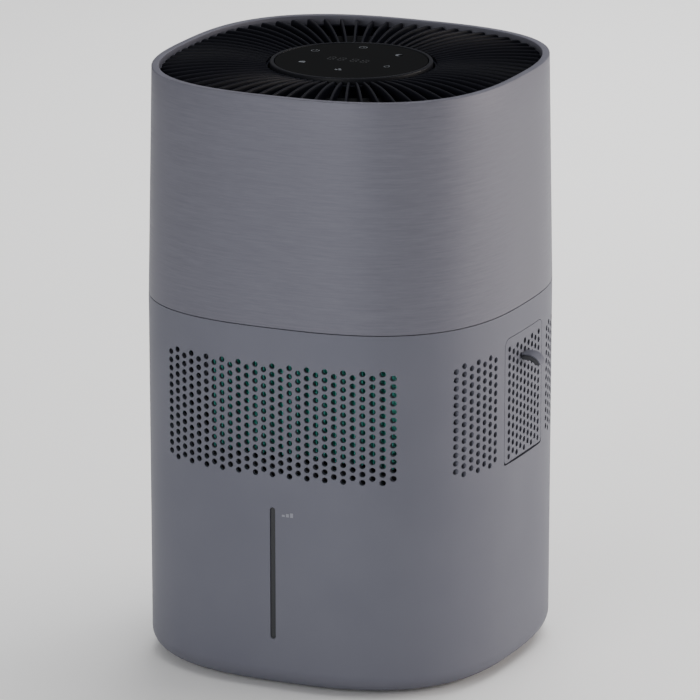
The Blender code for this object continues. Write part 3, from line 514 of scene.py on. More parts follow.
# ==== Deck, drip tray and humidity sensor ==================================================
# The deck is a flat ABS plate above the tank. The tray on it slopes to a nozzle over the tank's
# filling hole, and the sensor's small board stands beside it in the intake air.
def solder_mask():
    """Green solder mask over copper: cell edges at 2.5 mm stand for the traces under it."""
    made, tree, shader = new_material("solder_masked_board", "#17482c", 0.3)
    place = add(tree, "ShaderNodeTexCoord").outputs["Object"]
    traces = add(tree, "ShaderNodeTexVoronoi", {"Vector": place, "Scale": 1 / (2.5 * MM)},
                 feature="DISTANCE_TO_EDGE", distance="MANHATTAN")
    edge = add(tree, "ShaderNodeMapRange", {"Value": traces.outputs["Distance"],
                                            "From Max": 0.12})
    shade = add(tree, "ShaderNodeMix", {"Factor": edge.outputs["Result"], "A": linear("#2a6b42"),
                                        "B": linear("#143f27")}, data_type="RGBA")
    bump = add(tree, "ShaderNodeBump", {"Height": edge.outputs["Result"], "Strength": 0.2,
                                        "Distance": 0.05 * MM}, invert=True)
    tree.links.new(shade.outputs["Result"], shader.inputs["Base Color"])
    tree.links.new(bump.outputs["Normal"], shader.inputs["Normal"])
    return made


board_green = solder_mask()
dress(charcoal, "deck", "drip_tray")
dress(board_green, "humidity_sensor")


# ==== Cooling block ========================================================================
# Extruded aluminium fins with a teal water-shedding coat face the front intake. Two alumina
# modules in a foam gasket sit between them and the bare hot fins, clamped by four screws.
def fin_block(name, material, low, high, root, tip, half, pitch, thickness, drop):
    """A base plate from low to high, with upright fins across it from its root out to a tip:
    every fin is the same eight corners moved along x."""
    count = int(2 * half / pitch) + 1
    x = (np.arange(count) - (count - 1) / 2)[:, None] * pitch
    y, z = sorted((root, tip)), (low[2] + drop, high[2] - drop)
    corner = np.array([(a, b, c) for c in (0, 1) for a, b in ((0, 0), (1, 0), (1, 1), (0, 1))])
    fins = np.stack([x + (corner[:, 0] - 0.5) * thickness,
                     np.broadcast_to(np.array(y)[corner[:, 1]], (count, 8)),
                     np.broadcast_to(np.array(z)[corner[:, 2]], (count, 8))], axis=2)
    ends = np.array([low, high])
    base = np.stack([ends[corner[:, i], i] for i in range(3)], axis=1)[None]
    verts = np.concatenate([base, fins])
    sides = np.array([(3, 2, 1, 0), (4, 5, 6, 7), (0, 1, 5, 4), (1, 2, 6, 5), (2, 3, 7, 6),
                      (3, 0, 4, 7)])
    quads = sides[None] + np.arange(count + 1)[:, None, None] * 8
    return mesh_piece(name, verts, quads, material)


def extruded_aluminium(name, colour, bright, metallic, roughness):
    """Extrusion drags fine lines along the fins, here about half a millimetre apart."""
    made, tree, shader = new_material(name, colour, roughness, metallic)
    place = add(tree, "ShaderNodeTexCoord").outputs["Object"]
    drawn = add(tree, "ShaderNodeMapping", {"Vector": place,
                                            "Scale": (1 / (0.5 * MM), 1 / (0.5 * MM),
                                                      1 / (40 * MM))})
    lines = add(tree, "ShaderNodeTexNoise", {"Vector": drawn.outputs["Vector"], "Scale": 1.0,
                                             "Detail": 3.0})
    shade = add(tree, "ShaderNodeMix", {"Factor": lines.outputs["Fac"], "A": linear(colour),
                                        "B": linear(bright)}, data_type="RGBA")
    bump = add(tree, "ShaderNodeBump", {"Height": lines.outputs["Fac"], "Strength": 0.15,
                                        "Distance": 0.03 * MM})
    tree.links.new(shade.outputs["Result"], shader.inputs["Base Color"])
    tree.links.new(bump.outputs["Normal"], shader.inputs["Normal"])
    return made


def speckled(name, dark, light, roughness, size, bump_depth):
    """Closed cells or grains of a given size: pale middles and slightly darker edges."""
    made, tree, shader = new_material(name, light, roughness)
    place = add(tree, "ShaderNodeTexCoord").outputs["Object"]
    cells = add(tree, "ShaderNodeTexVoronoi", {"Vector": place, "Scale": 1 / size},
                feature="DISTANCE_TO_EDGE")
    rim = add(tree, "ShaderNodeMapRange", {"Value": cells.outputs["Distance"], "From Max": 0.25})
    shade = add(tree, "ShaderNodeMix", {"Factor": rim.outputs["Result"], "A": linear(dark),
                                        "B": linear(light)}, data_type="RGBA")
    bump = add(tree, "ShaderNodeBump", {"Height": rim.outputs["Result"], "Strength": 0.4,
                                        "Distance": bump_depth})
    tree.links.new(shade.outputs["Result"], shader.inputs["Base Color"])
    tree.links.new(bump.outputs["Normal"], shader.inputs["Normal"])
    return made


COLD_BASE = 6 * MM
teal = extruded_aluminium("teal_coated_aluminium", "#4fd3c6", "#6be3d6", 0.0, 0.45)
bare = extruded_aluminium("extruded_aluminium", "#9fa2a5", "#b9bbbd", 1.0, 0.4)
x0, x1, y0, y1, z0, z1 = extent("cold_sink")
cold_fins = fin_block("cold_sink_fine", teal, (x0, y1 - COLD_BASE, z0), (x1, y1, z1),
                      y1 - COLD_BASE + 0.5 * MM, y0, 58 * MM, 2.4 * MM, 0.6 * MM, 0.5 * MM)
finish_piece(cold_fins, teal, "casing", "coated_fins", "cold_sink")
x0, x1, y0, y1, z0, z1 = extent("hot_sink")
hot_fins = fin_block("hot_sink_fine", bare, (x0, y0, z0), (x1, y0 + COLD_BASE, z1),
                     y0 + COLD_BASE - 0.5 * MM, y1, 58 * MM, 3.2 * MM, 0.8 * MM, 0.5 * MM)
finish_piece(hot_fins, bare, "casing", "bare_aluminium", "hot_sink")
dress(speckled("sintered_alumina", "#d2d0ca", "#ebe9e3", 0.55, 0.6 * MM, 0.02 * MM),
      "cooling_module_left", "cooling_module_right")
dress(speckled("closed_cell_foam", "#1b1b1d", "#2a2a2d", 0.9, 0.9 * MM, 0.15 * MM),
      "module_gasket")
dress(zinc, "clamp_screw_1", "clamp_screw_2", "clamp_screw_3", "clamp_screw_4")


# ==== Power board and inlet ================================================================
# The supply stands upright at the back: a fibreglass board, a taped transformer, a capacitor
# with its aluminium top, and a heat tab. The lead plugs into a small two-pin inlet below it.
x0, x1, y0, y1, z0, z1 = extent("power_board")
power_board = prism("power_board_detail", rounded(x0, x1, z0, z1, 2 * MM), y1 - 1.6 * MM, y1, "y")
finish_piece(power_board, board_green, "casing", "circuit_board", "power_board")
BOARD_Y = y1 - 1.6 * MM
black_resin = moulded("moulded_resin_black", "#101114", "#17181c", 0.35, 0.5)
tape = moulded("polyester_tape", "#b08a2e", "#c09a3a", 0.25, 0.4)
# each part in millimetres: left, right, front, bottom, top, its skin, and its corner radius
parts = {"transformer_core": (-38, -10, 60.4, 158, 182, black_resin, 1.5),
         "transformer_tape": (-34, -14, 59.9, 156.6, 183.4, tape, 3),
         "heat_tab": (24, 42, 80.0, 156, 194, bare, 1),
         "rectifier": (46, 49, 72.0, 160, 176, black_resin, 0.5),
         "relay": (26, 40, 68.0, 160, 172, black_resin, 1)}
for label, (left, right, front, bottom, upper, skin, corner) in parts.items():
    block = prism(label, rounded(left * MM, right * MM, bottom * MM, upper * MM, corner * MM, 4),
                  front * MM, BOARD_Y + 0.1 * MM, "y", skin)
    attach(block, "casing")
turn = np.linspace(0, 2 * math.pi, 40, endpoint=False)
for label, across, depth, skin in (("capacitor_sleeve", 8.0, 58.5, black_resin),
                                   ("capacitor_top", 7.4, 58.2, bare)):
    disc = np.stack([10 * MM + across * MM * np.cos(turn), 170 * MM + across * MM * np.sin(turn)],
                    axis=1)
    behind = BOARD_Y + 0.1 * MM if skin is black_resin else 60 * MM
    part = prism(label, disc, depth * MM, behind, "y", skin)
    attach(part, "casing")

x0, x1, y0, y1, z0, z1 = extent("power_inlet")
inlet = prism("power_inlet_socket", rounded(x0, x1, z0, z1, 2 * MM), y0, y1, "y", black_resin)
socket = prism("cut", rounded(-7.5 * MM, 7.5 * MM, 131.5 * MM, 140.5 * MM, 4.4 * MM), 94 * MM,
               115 * MM, "y")
apply_boolean(inlet, "DIFFERENCE", socket)
finish_piece(inlet, black_resin, "casing", "black_plastic", "power_inlet")
for side in (-1, 1):
    pin = prism(f"inlet_pin_{'left' if side < 0 else 'right'}",
                np.stack([side * 3.3 * MM + 1.1 * MM * np.cos(turn),
                          136 * MM + 1.1 * MM * np.sin(turn)], axis=1), 93.5 * MM, 104.5 * MM,
                "y", zinc)
    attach(pin, "casing")


# ==== Filter door ==========================================================================
# A loose piece of the same moulded wall, pierced in nine columns that carry on the band. It
# tilts out on two steel pins in knuckles behind its lower edge; clips hold the filter inside.
door_rows = [(0, 206 * MM)] + [(0, z) for z in levels[::-1]] + [(0, 122 * MM), (WALL, 122 * MM)]
door_rows += [(WALL, z) for z in levels] + [(WALL, 206 * MM)]
DOOR_COLUMNS = tuple(range(-4, 5))
door = casing_wall("side_door_pierced", door_rows, slate, ((), DOOR_COLUMNS, (), ()),
                   BAND_MIDDLE)
window = prism("window", door_outline(0, 0, 3 * MM), 95 * MM, 118 * MM, "x")
apply_boolean(door, "INTERSECT", window)
pin_low, pin_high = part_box("hinge_pin_front")
HINGE_X, HINGE_Z = (pin_low.x + pin_high.x) / 2, (pin_low.z + pin_high.z) / 2
lugs = []
for side in (-1, 1):
    y = sorted((side * 16.8 * MM, side * 22.8 * MM))
    lugs.append(prism("knuckle", rounded(104.8 * MM, 107.8 * MM, DOOR_LOW + 0.2 * MM,
                                         HINGE_Z + 2 * MM, MM, 4), *y, "y"))
    for z in (140 * MM, 191 * MM):
        lugs.append(prism("clip", rounded(side * 20 * MM - 3 * MM, side * 20 * MM + 3 * MM,
                                          z - 2 * MM, z + 2 * MM, 0.8 * MM, 4), 103.9 * MM,
                          108 * MM, "x"))
apply_boolean(door, "UNION", *lugs)
pin_turn = np.linspace(0, 2 * math.pi, 20, endpoint=False)
pin_hole = prism("cut", np.stack([HINGE_X + 0.9 * MM * np.cos(pin_turn),
                                  HINGE_Z + 0.9 * MM * np.sin(pin_turn)], axis=1),
                 -DOOR_HALF - MM, DOOR_HALF + MM, "y")
edge_x, edge_z, run = HINGE_X + 2 * MM, DOOR_LOW + 0.5 * MM, 2 * MM
chamfer = prism("cut", [(edge_x - run, edge_z - run), (edge_x + run, edge_z - run),
                        (edge_x + run, edge_z + run)], -DOOR_HALF - MM, DOOR_HALF + MM, "y")
apply_boolean(door, "DIFFERENCE", pin_hole, chamfer)
finish_piece(door, slate, "filter_door", "smooth_case", "side_door")
dress(zinc, "hinge_pin_front", "hinge_pin_rear")


# ==== Door pull ============================================================================
# A small hook to pull with a finger tip: a slate cap over a charcoal core, both carried along an arc
# that leaves the door level and turns down. The charcoal core is painted shade: a dark solid put
# where the hollow under the cap would lie in shadow. It is glued to the door.
PULL_Z, PULL_REACH, PULL_BEND, PULL_TURN = 188 * MM, 11 * MM, 7.5 * MM, 78


def hook_path(start, root_z, reach, bend, stop):
    """Straight out from the door, then a quarter turn down: points and outward normals."""
    along = np.linspace(0, math.radians(stop), 14)
    middle = start + reach - bend * math.sin(along[-1])
    lead = np.linspace(start, middle, 4, endpoint=False)
    x = np.concatenate([lead, middle + bend * np.sin(along)])
    z = np.concatenate([np.full(4, root_z), root_z - bend * (1 - np.cos(along))])
    normal_x = np.concatenate([np.zeros(4), np.sin(along)])
    normal_z = np.concatenate([np.ones(4), np.cos(along)])
    return x, z, normal_x, normal_z


def hook_band(name, width, outer, inner, corner, material, taper=0.7):
    """A rounded band carried along the hook: its section lies between two depths below the path
    and narrows a little towards the tip."""
    x, z, nx, nz = hook_path(PULL_ROOT, PULL_Z, PULL_REACH, PULL_BEND, PULL_TURN)
    section = np.array(rounded(-width / 2, width / 2, -inner, -outer, corner, 5))
    share = np.linspace(0, 1, len(x))[:, None]
    across = section[None, :, 0] * (1 - (1 - taper) * share ** 3)
    depth = section[None, :, 1]
    verts = np.stack([x[:, None] + nx[:, None] * depth, across, z[:, None] + nz[:, None] * depth],
                     axis=2)
    rings, count = verts.shape[:2]
    r, k = np.meshgrid(np.arange(rings - 1), np.arange(count), indexing="ij")
    quads = np.stack([r * count + k, r * count + (k + 1) % count,
                      (r + 1) * count + (k + 1) % count, (r + 1) * count + k], axis=2)
    ends = (range(count), range((rings - 1) * count, rings * count))
    return mesh_piece(name, verts, quads, material, polygons=ends)


PULL_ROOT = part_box("door_pull")[0].x
pull_cap = hook_band("door_pull_cap", 10 * MM, 0, 0.8 * MM, 0.4 * MM, slate)
# painted shade: the charcoal core stands for the shadowed hollow under the slate cap
pull_shade_core = hook_band("door_pull_shade_core", 9.8 * MM, 0.7 * MM, 3.8 * MM, 1.0 * MM, charcoal, 0.69)
finish_piece(pull_cap, slate, "filter_door", "smooth_case", "door_pull")
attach(pull_shade_core, "filter_door")


# ==== Dust filter ==========================================================================
# A charcoal frame with crossed ribs clips behind the door. It is moulded round a black nylon
# mesh of fine plain weave.
def nylon_weave():
    """Plain weave of 0.7 mm threads over and under, drawn from two crossed waves."""
    made, tree, shader = new_material("woven_nylon_mesh", "#17181b", 0.6)
    place = add(tree, "ShaderNodeTexCoord").outputs["Object"]
    # the real mesh is about 0.4 mm between threads; it is drawn at 0.7 mm so that it shows
    warp = add(tree, "ShaderNodeTexWave", {"Vector": place, "Scale": 0.314 / (0.7 * MM)},
               bands_direction="Y")
    weft = add(tree, "ShaderNodeTexWave", {"Vector": place, "Scale": 0.314 / (0.7 * MM)},
               bands_direction="Z")
    both = add(tree, "ShaderNodeMath", {0: warp.outputs["Fac"], 1: weft.outputs["Fac"]},
               operation="MAXIMUM")
    shade = add(tree, "ShaderNodeMix", {"Factor": both.outputs["Value"], "A": linear("#060607"),
                                        "B": linear("#26272b")}, data_type="RGBA")
    bump = add(tree, "ShaderNodeBump", {"Height": both.outputs["Value"], "Strength": 0.6,
                                        "Distance": 0.2 * MM})
    tree.links.new(shade.outputs["Result"], shader.inputs["Base Color"])
    tree.links.new(bump.outputs["Normal"], shader.inputs["Normal"])
    return made


x0, x1, y0, y1, z0, z1 = extent("filter_frame")
filter_frame = prism("filter_frame_ribbed", rounded(y0, y1, z0, z1, 3 * MM), x0, x1, "x")
panes, rib, rim_wide = [], 1.2 * MM, 3 * MM
for column in range(2):
    for row in range(3):
        wide, tall = (y1 - y0 - 2 * rim_wide) / 2, (z1 - z0 - 2 * rim_wide) / 3
        left, bottom = y0 + rim_wide + column * wide, z0 + rim_wide + row * tall
        panes.append(prism("cut", rounded(left + rib / 2, left + wide - rib / 2, bottom + rib / 2,
                                          bottom + tall - rib / 2, 1.2 * MM, 4), x0 - MM,
                           x1 + MM, "x"))
apply_boolean(filter_frame, "DIFFERENCE", *panes)
finish_piece(filter_frame, charcoal, "filter_door", "dark_plastic", "filter_frame")
dress(nylon_weave(), "filter_mesh")


# ==== Water tank ===========================================================================
# Blow-clear smoked styrene, drawn to the casing's own plan with its bottom edge rounded. It
# slides out to the back with its lid, the float and the outer panel.
def plan_offset(outline, distance):
    """An outline moved inwards: each point goes along the mean normal of its two edges."""
    before, after = np.roll(outline, 1, axis=0), np.roll(outline, -1, axis=0)
    along = after - before
    normal = np.stack([-along[:, 1], along[:, 0]], axis=1)
    return outline + normal / np.linalg.norm(normal, axis=1)[:, None] * distance


def carried(name, outline, profile, material):
    """An open (inset, z) profile carried round a plan outline; flat ends close it."""
    rings = [np.column_stack([plan_offset(outline, inset), np.full(len(outline), z)])
             for inset, z in profile]
    verts = np.array(rings)
    rows, count = verts.shape[:2]
    r, k = np.meshgrid(np.arange(rows - 1), np.arange(count), indexing="ij")
    quads = np.stack([r * count + k, r * count + (k + 1) % count,
                      (r + 1) * count + (k + 1) % count, (r + 1) * count + k], axis=2)
    ends = (range(count), range((rows - 1) * count, rows * count))
    return mesh_piece(name, verts, quads, material, polygons=ends)


def tank_plan(inset, steps=40):
    """The casing's plan cut straight at the sides and the back, with 6 mm round corners."""
    half = float(half_width(60 * MM)) - inset
    side, back = 82 * MM, 88 * MM
    x = np.linspace(-side, side, steps)
    front = np.stack([x, -half * (1 - np.abs(x / half) ** SQUARENESS) ** (1 / SQUARENESS)], axis=1)
    arc = np.linspace(0, math.pi / 2, 7)
    radius = 6 * MM
    right_corner = np.stack([side - radius + radius * np.cos(arc),
                             back - radius + radius * np.sin(arc)], axis=1)
    left_corner = np.stack([-right_corner[::-1, 0], right_corner[::-1, 1]], axis=1)
    return np.concatenate([front, right_corner, left_corner])


def smoked_styrene():
    """Clear styrene with a smoke tint: mostly transmitted light, with soft flow lines."""
    made, tree, shader = new_material("smoked_clear_styrene", "#8f98a3", 0.08,
                                      Transmission_Weight=0.85, IOR=1.57)
    place = add(tree, "ShaderNodeTexCoord").outputs["Object"]
    flow = add(tree, "ShaderNodeTexNoise", {"Vector": place, "Scale": 1 / (30 * MM),
                                            "Detail": 2.0})
    gloss = add(tree, "ShaderNodeMapRange", {"Value": flow.outputs["Fac"], "To Min": 0.05,
                                             "To Max": 0.16})
    bump = add(tree, "ShaderNodeBump", {"Height": flow.outputs["Fac"], "Strength": 0.1,
                                        "Distance": 0.3 * MM})
    tree.links.new(gloss.outputs["Result"], shader.inputs["Roughness"])
    tree.links.new(bump.outputs["Normal"], shader.inputs["Normal"])
    return made


x0, x1, y0, y1, z0, z1 = extent("tank")
tank_wall = 2.2 * MM
round_up = quarter(0, 7 * MM, z0, 7 * MM, 7)[::-1]
hollow = quarter(tank_wall, 5 * MM, z0 + tank_wall, 5 * MM, 6)
profile = round_up + [(0, z1 - 0.6 * MM), (0.6 * MM, z1), (tank_wall - 0.6 * MM, z1),
                      (tank_wall, z1 - 0.6 * MM)] + hollow
styrene = smoked_styrene()
tank = carried("tank_clear", tank_plan(5.5 * MM), profile, styrene)
finish_piece(tank, styrene, "tank_drawer", "clear_plastic", "tank")


# ==== Tank lid and float ===================================================================
# A charcoal lid snaps on the tank, with a filling hole below the tray's nozzle and two lugs for
# the float's pin. The float is a white foam block that trips the full sensor as it rises.
dress(charcoal, "tank_lid")
dress(zinc, "float_pin")
dress(speckled("expanded_polystyrene", "#c9c8c2", "#eceae4", 0.7, 3.2 * MM, 0.3 * MM), "float")


# ==== Tank panel ===========================================================================
# The rear part of the lower wall belongs to the tank. It is the same slate ABS, with a slot for
# the fingers near its top and spacers behind it that hold it to the tank.
panel_rows = [(0, 18.9 * MM), (0, 60 * MM), (0, 116.1 * MM), (WALL, 116.1 * MM), (WALL, 60 * MM),
              (WALL, 18.9 * MM)]
tank_panel = casing_wall("tank_panel_smooth", panel_rows, slate)
keep_box = prism("window", rounded(-83.6 * MM, 83.6 * MM, 10 * MM, 125 * MM, MM, 2), 50 * MM,
                 125 * MM, "y")
apply_boolean(tank_panel, "INTERSECT", keep_box)
spacers = [prism("spacer", rounded(x - 3 * MM, x + 3 * MM, 30 * MM, 84 * MM, MM, 3), 88.3 * MM,
                 reach, "y") for x, reach in ((-45 * MM, 104.5 * MM), (0, 108 * MM),
                                              (45 * MM, 104.5 * MM))]
apply_boolean(tank_panel, "UNION", *spacers)
grip = prism("cut", rounded(-32 * MM, 32 * MM, 88 * MM, 108 * MM, 8 * MM, 10), 95 * MM, 120 * MM,
             "y")
apply_boolean(tank_panel, "DIFFERENCE", grip)
finish_piece(tank_panel, slate, "tank_drawer", "smooth_case", "tank_panel")


# ==== Fan duct =============================================================================
# A round duct with a flared lip stands on a square flange over the lower shell. A cup on three
# arms in its bore carries the motor.
def turned(name, profile, material, steps=128):
    """A closed (radius, z) profile turned about the casing's axis."""
    radius, z = np.array(profile).T
    turn = np.linspace(0, 2 * math.pi, steps, endpoint=False)
    verts = np.stack([radius[:, None] * np.cos(turn), radius[:, None] * np.sin(turn),
                      np.broadcast_to(z[:, None], (len(z), steps))], axis=2)
    r, k = np.meshgrid(np.arange(len(z)), np.arange(steps), indexing="ij")
    below, beside = (r + 1) % len(z), (k + 1) % steps
    quads = np.stack([r * steps + k, r * steps + beside, below * steps + beside,
                      below * steps + k], axis=2)
    return mesh_piece(name, verts, quads, material)


black = moulded("moulded_abs_black", "#08090c", "#0c0d11", 0.5, 0.6, Specular_IOR_Level=0.2)
DUCT_BORE = 70 * MM
LIP_TOP, LIP_RADIUS = 344.7 * MM, 87.5 * MM
FLANGE_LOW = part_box("fan_duct")[0].z
FLANGE_HIGH = FLANGE_LOW + 3 * MM
arc = np.linspace(0, math.pi / 2, 6)
lip = [(LIP_RADIUS - 2 * MM * (1 - math.cos(t)), LIP_TOP - 2 * MM * (1 - math.sin(t)))
       for t in arc]
lip += [(DUCT_BORE + 3 * MM * (1 - math.sin(t)), LIP_TOP - 3 * MM * (1 - math.cos(t)))
        for t in arc]
duct = turned("fan_duct_flared", [(DUCT_BORE, FLANGE_LOW + MM), (72.4 * MM, FLANGE_LOW + MM),
                                  (72.4 * MM, 338 * MM), (LIP_RADIUS, 341.5 * MM)] + lip, black)
flange_rows = [(3.1 * MM, FLANGE_LOW), (3.1 * MM, FLANGE_HIGH), (30 * MM, FLANGE_HIGH),
               (30 * MM, FLANGE_LOW)]
flange = casing_wall("flange", flange_rows, black)
web = turned("web", [(71.5 * MM, FLANGE_LOW + 0.2 * MM), (71.5 * MM, FLANGE_LOW + 2.8 * MM),
                     (88 * MM, FLANGE_LOW + 2.8 * MM), (88 * MM, FLANGE_LOW + 0.2 * MM)], black)
apply_boolean(duct, "UNION", flange, web)
CUP_LOW = 250 * MM
cup = turned("cup", [(4 * MM, CUP_LOW), (24 * MM, CUP_LOW), (24 * MM, CUP_LOW + 9 * MM),
                     (21.6 * MM, CUP_LOW + 9 * MM), (21.6 * MM, CUP_LOW + 2.4 * MM),
                     (4 * MM, CUP_LOW + 2.4 * MM)], black, 64)
arms = []
for number in range(3):
    angle = math.radians(90 + 120 * number)
    out = np.array([math.cos(angle), math.sin(angle)])
    across = np.array([-out[1], out[0]]) * 3.5 * MM
    near, far = out * 22.5 * MM, out * (DUCT_BORE + 1.2 * MM)
    arms.append(prism("arm", [near - across, far - across, far + across, near + across],
                      CUP_LOW + 0.5 * MM, CUP_LOW + 7 * MM, "z"))
apply_boolean(duct, "UNION", cup, *arms)
finish_piece(duct, black, "casing", "black_plastic", "fan_duct")


# ==== Motor and fan ========================================================================
# A small steel-cased motor sits in the cup and turns a seven-bladed axial fan pressed on its
# shaft. The blades sweep forward and thin out towards their tips.
def blade_grid(number, blades, low, high, hub, tip):
    """One blade: its camber line climbs with the chord, turns with the span and is thickened by
    an ellipse, so a grid of span by section points closes on itself."""
    span = np.linspace(0, 1, 14)[:, None]
    around = np.linspace(0, 2 * math.pi, 28, endpoint=False)[None]
    chord = -np.cos(around) / 2
    thick = np.sin(around) * (1.1 - 0.5 * span) * MM
    radius = hub - 1.5 * MM + span * (tip - hub + 1.5 * MM)
    rise = (high - low - 6 * MM) * (1 - 0.3 * span)
    angle = (2 * math.pi * number / blades + np.radians(40 - 10 * span) * chord
             + math.radians(12) * span)
    lift = (low + high) / 2 + rise * (chord + 0.12 * (1 - 4 * chord ** 2)) + thick
    return np.stack([radius * np.cos(angle), radius * np.sin(angle), lift], axis=2)


BLADES, FAN_RADIUS = 7, 67 * MM
fan_low, fan_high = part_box("fan_impeller")
hub_radius = 24 * MM
hub_top = fan_high.z
hub = turned("fan_hub", [(2.8 * MM, fan_low.z), (2.8 * MM, hub_top), (17 * MM, hub_top),
                         (21.5 * MM, hub_top - 1.3 * MM), (hub_radius, hub_top - 4 * MM),
                         (hub_radius, fan_low.z)], black, 96)
grids = np.array([blade_grid(n, BLADES, fan_low.z, hub_top - 2 * MM, hub_radius, FAN_RADIUS)
                  for n in range(BLADES)])
span_count, around_count = grids.shape[1:3]
b, r, k = np.meshgrid(np.arange(BLADES), np.arange(span_count - 1), np.arange(around_count),
                      indexing="ij")
at = (b * span_count + r) * around_count
quads = np.stack([at + k, at + (k + 1) % around_count, at + around_count + (k + 1) % around_count,
                  at + around_count + k], axis=3)
ends = [range((n * span_count + end) * around_count, (n * span_count + end + 1) * around_count)
        for n in range(BLADES) for end in (0, span_count - 1)]
impeller = mesh_piece("fan_impeller_blades", grids, quads, black, polygons=ends)
finish_piece(impeller, black, "fan", "black_plastic", "fan_impeller")
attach(hub, "fan")
dress(zinc, "fan_motor", "motor_shaft", "motor_screw_1", "motor_screw_2", "motor_screw_3")


# ==== Upper shell ==========================================================================
# The same ABS under a horizontally brushed metallic coat: long uneven strokes run round the
# casing. The rim is 4 mm thick with softened edges and a plain inner wall above the grille.
def brushed_coat():
    """Strokes: noise squeezed to a third of a millimetre in height and long round the casing."""
    made, tree, shader = new_material("brushed_coat_slate", "#5e5e68", 0.45, 0.15,
                                       Specular_IOR_Level=0.12)
    place = add(tree, "ShaderNodeTexCoord").outputs["Object"]
    strokes = add(tree, "ShaderNodeMapping", {"Vector": place,
                                              "Scale": (1 / (7 * MM), 1 / (7 * MM), 1 / (0.35 * MM))})
    fine = add(tree, "ShaderNodeTexNoise", {"Vector": strokes.outputs["Vector"], "Scale": 1.0,
                                            "Detail": 4.0, "Roughness": 0.6, "Distortion": 0.15})
    streaks = add(tree, "ShaderNodeMapping", {"Vector": place,
                                              "Scale": (1 / (22 * MM), 1 / (22 * MM), 1 / (1.0 * MM))})
    broad = add(tree, "ShaderNodeTexNoise", {"Vector": streaks.outputs["Vector"], "Scale": 1.0,
                                             "Detail": 3.0, "Distortion": 0.2})
    both = add(tree, "ShaderNodeMath", {0: fine.outputs["Fac"], 1: broad.outputs["Fac"]},
               operation="ADD")
    spread = add(tree, "ShaderNodeMapRange", {"Value": both.outputs["Value"], "From Min": 0.7,
                                              "From Max": 1.3})
    shade = add(tree, "ShaderNodeMix", {"Factor": spread.outputs["Result"],
                                        "A": linear("#60606a"), "B": linear("#6a6a74")},
                data_type="RGBA")
    gloss = add(tree, "ShaderNodeMapRange", {"Value": spread.outputs["Result"], "To Min": 0.38,
                                             "To Max": 0.52})
    bump = add(tree, "ShaderNodeBump", {"Height": both.outputs["Value"], "Strength": 0.1,
                                        "Distance": 0.12 * MM})
    tree.links.new(shade.outputs["Result"], shader.inputs["Base Color"])
    tree.links.new(gloss.outputs["Result"], shader.inputs["Roughness"])
    tree.links.new(bump.outputs["Normal"], shader.inputs["Normal"])
    return made


RIM_WALL, RIM_EDGE = 4.1 * MM, 0.6 * MM
brushed = brushed_coat()
arc = np.linspace(0, math.pi / 2, 5)
rim = [(RIM_WALL - RIM_EDGE * (1 - math.cos(t)), RIM_Z - RIM_EDGE * (1 - math.sin(t)))
       for t in arc]
rim += [(RIM_EDGE * (1 - math.sin(t)), RIM_Z - RIM_EDGE * (1 - math.cos(t))) for t in arc]
low = SEAM_Z + 0.25 * MM
profile = rim + [(0, 330 * MM), (0, 280 * MM), (0, low + 0.6 * MM), (0, low), (WALL, low),
                 (WALL, 330 * MM), (7.5 * MM, 335 * MM), (7.5 * MM, 337.6 * MM),
                 (RIM_WALL, 337.6 * MM)]
upper_shell = casing_wall("upper_shell_brushed", profile, brushed)
finish_piece(upper_shell, brushed, "casing", "brushed_case", "upper_shell")


# ==== Top grille ===========================================================================
# One black ABS moulding: 72 thin upright vanes run out from a hub cup to a ring below the rim.
# Each has a rounded top edge that climbs in a shallow arch and rounds down at its outer end.
VANES, VANE_HALF = 72, 0.7 * MM
VANE_LOW, VANE_ROOT, VANE_PEAK = LIP_TOP + 0.3 * MM, 348.6 * MM, 351.3 * MM
VANE_RUN, VANE_DROP = 3 * MM, 2.5 * MM
PEAK_AT = 0.6
HUB_BORE, HUB_OUTER, CUP_TOP = 48.5 * MM, 50.6 * MM, 346.5 * MM


def vane_grid():
    """Vanes by stations by section points: the top line is a parabola peaking three fifths of
    the way out, then a quarter ellipse down at the ring; the section has a half-round top."""
    angle = (2 * math.pi * (np.arange(VANES) + 0.5) / VANES)[:, None, None]
    c, s = np.cos(angle), np.sin(angle)
    spread = (np.abs(c) ** SQUARENESS + np.abs(s) ** SQUARENESS) ** (-1 / SQUARENESS)
    wall = ((TOP_HALF - 4.8 * MM) * spread)[:, :, 0]
    inner = HUB_OUTER - 1.2 * MM
    climb, fall = np.linspace(0, 1, 12), np.linspace(0, math.pi / 2, 9)[1:]
    inner_r = inner + (wall - VANE_RUN - inner) * climb
    inner_z = VANE_PEAK - (VANE_PEAK - VANE_ROOT) * (1 - climb / PEAK_AT) ** 2
    outer_r = wall - VANE_RUN * (1 - np.sin(fall))
    outer_z = inner_z[-1] - VANE_DROP * (1 - np.cos(fall))
    r = np.concatenate([inner_r, outer_r], axis=1)[:, :, None]
    top = np.concatenate([inner_z, outer_z])[None, :, None]
    half_turn = np.linspace(0, math.pi, 7)
    across = np.concatenate([[VANE_HALF], VANE_HALF * np.cos(half_turn), [-VANE_HALF]])
    level = np.concatenate([[0], VANE_HALF * np.sin(half_turn) - VANE_HALF, [0]])
    is_low = np.zeros(9, bool)
    is_low[[0, -1]] = True
    z = np.where(is_low, VANE_LOW, top + level)
    x, y = c * r - s * across, s * r + c * across
    return np.stack(np.broadcast_arrays(x, y, z), axis=3)


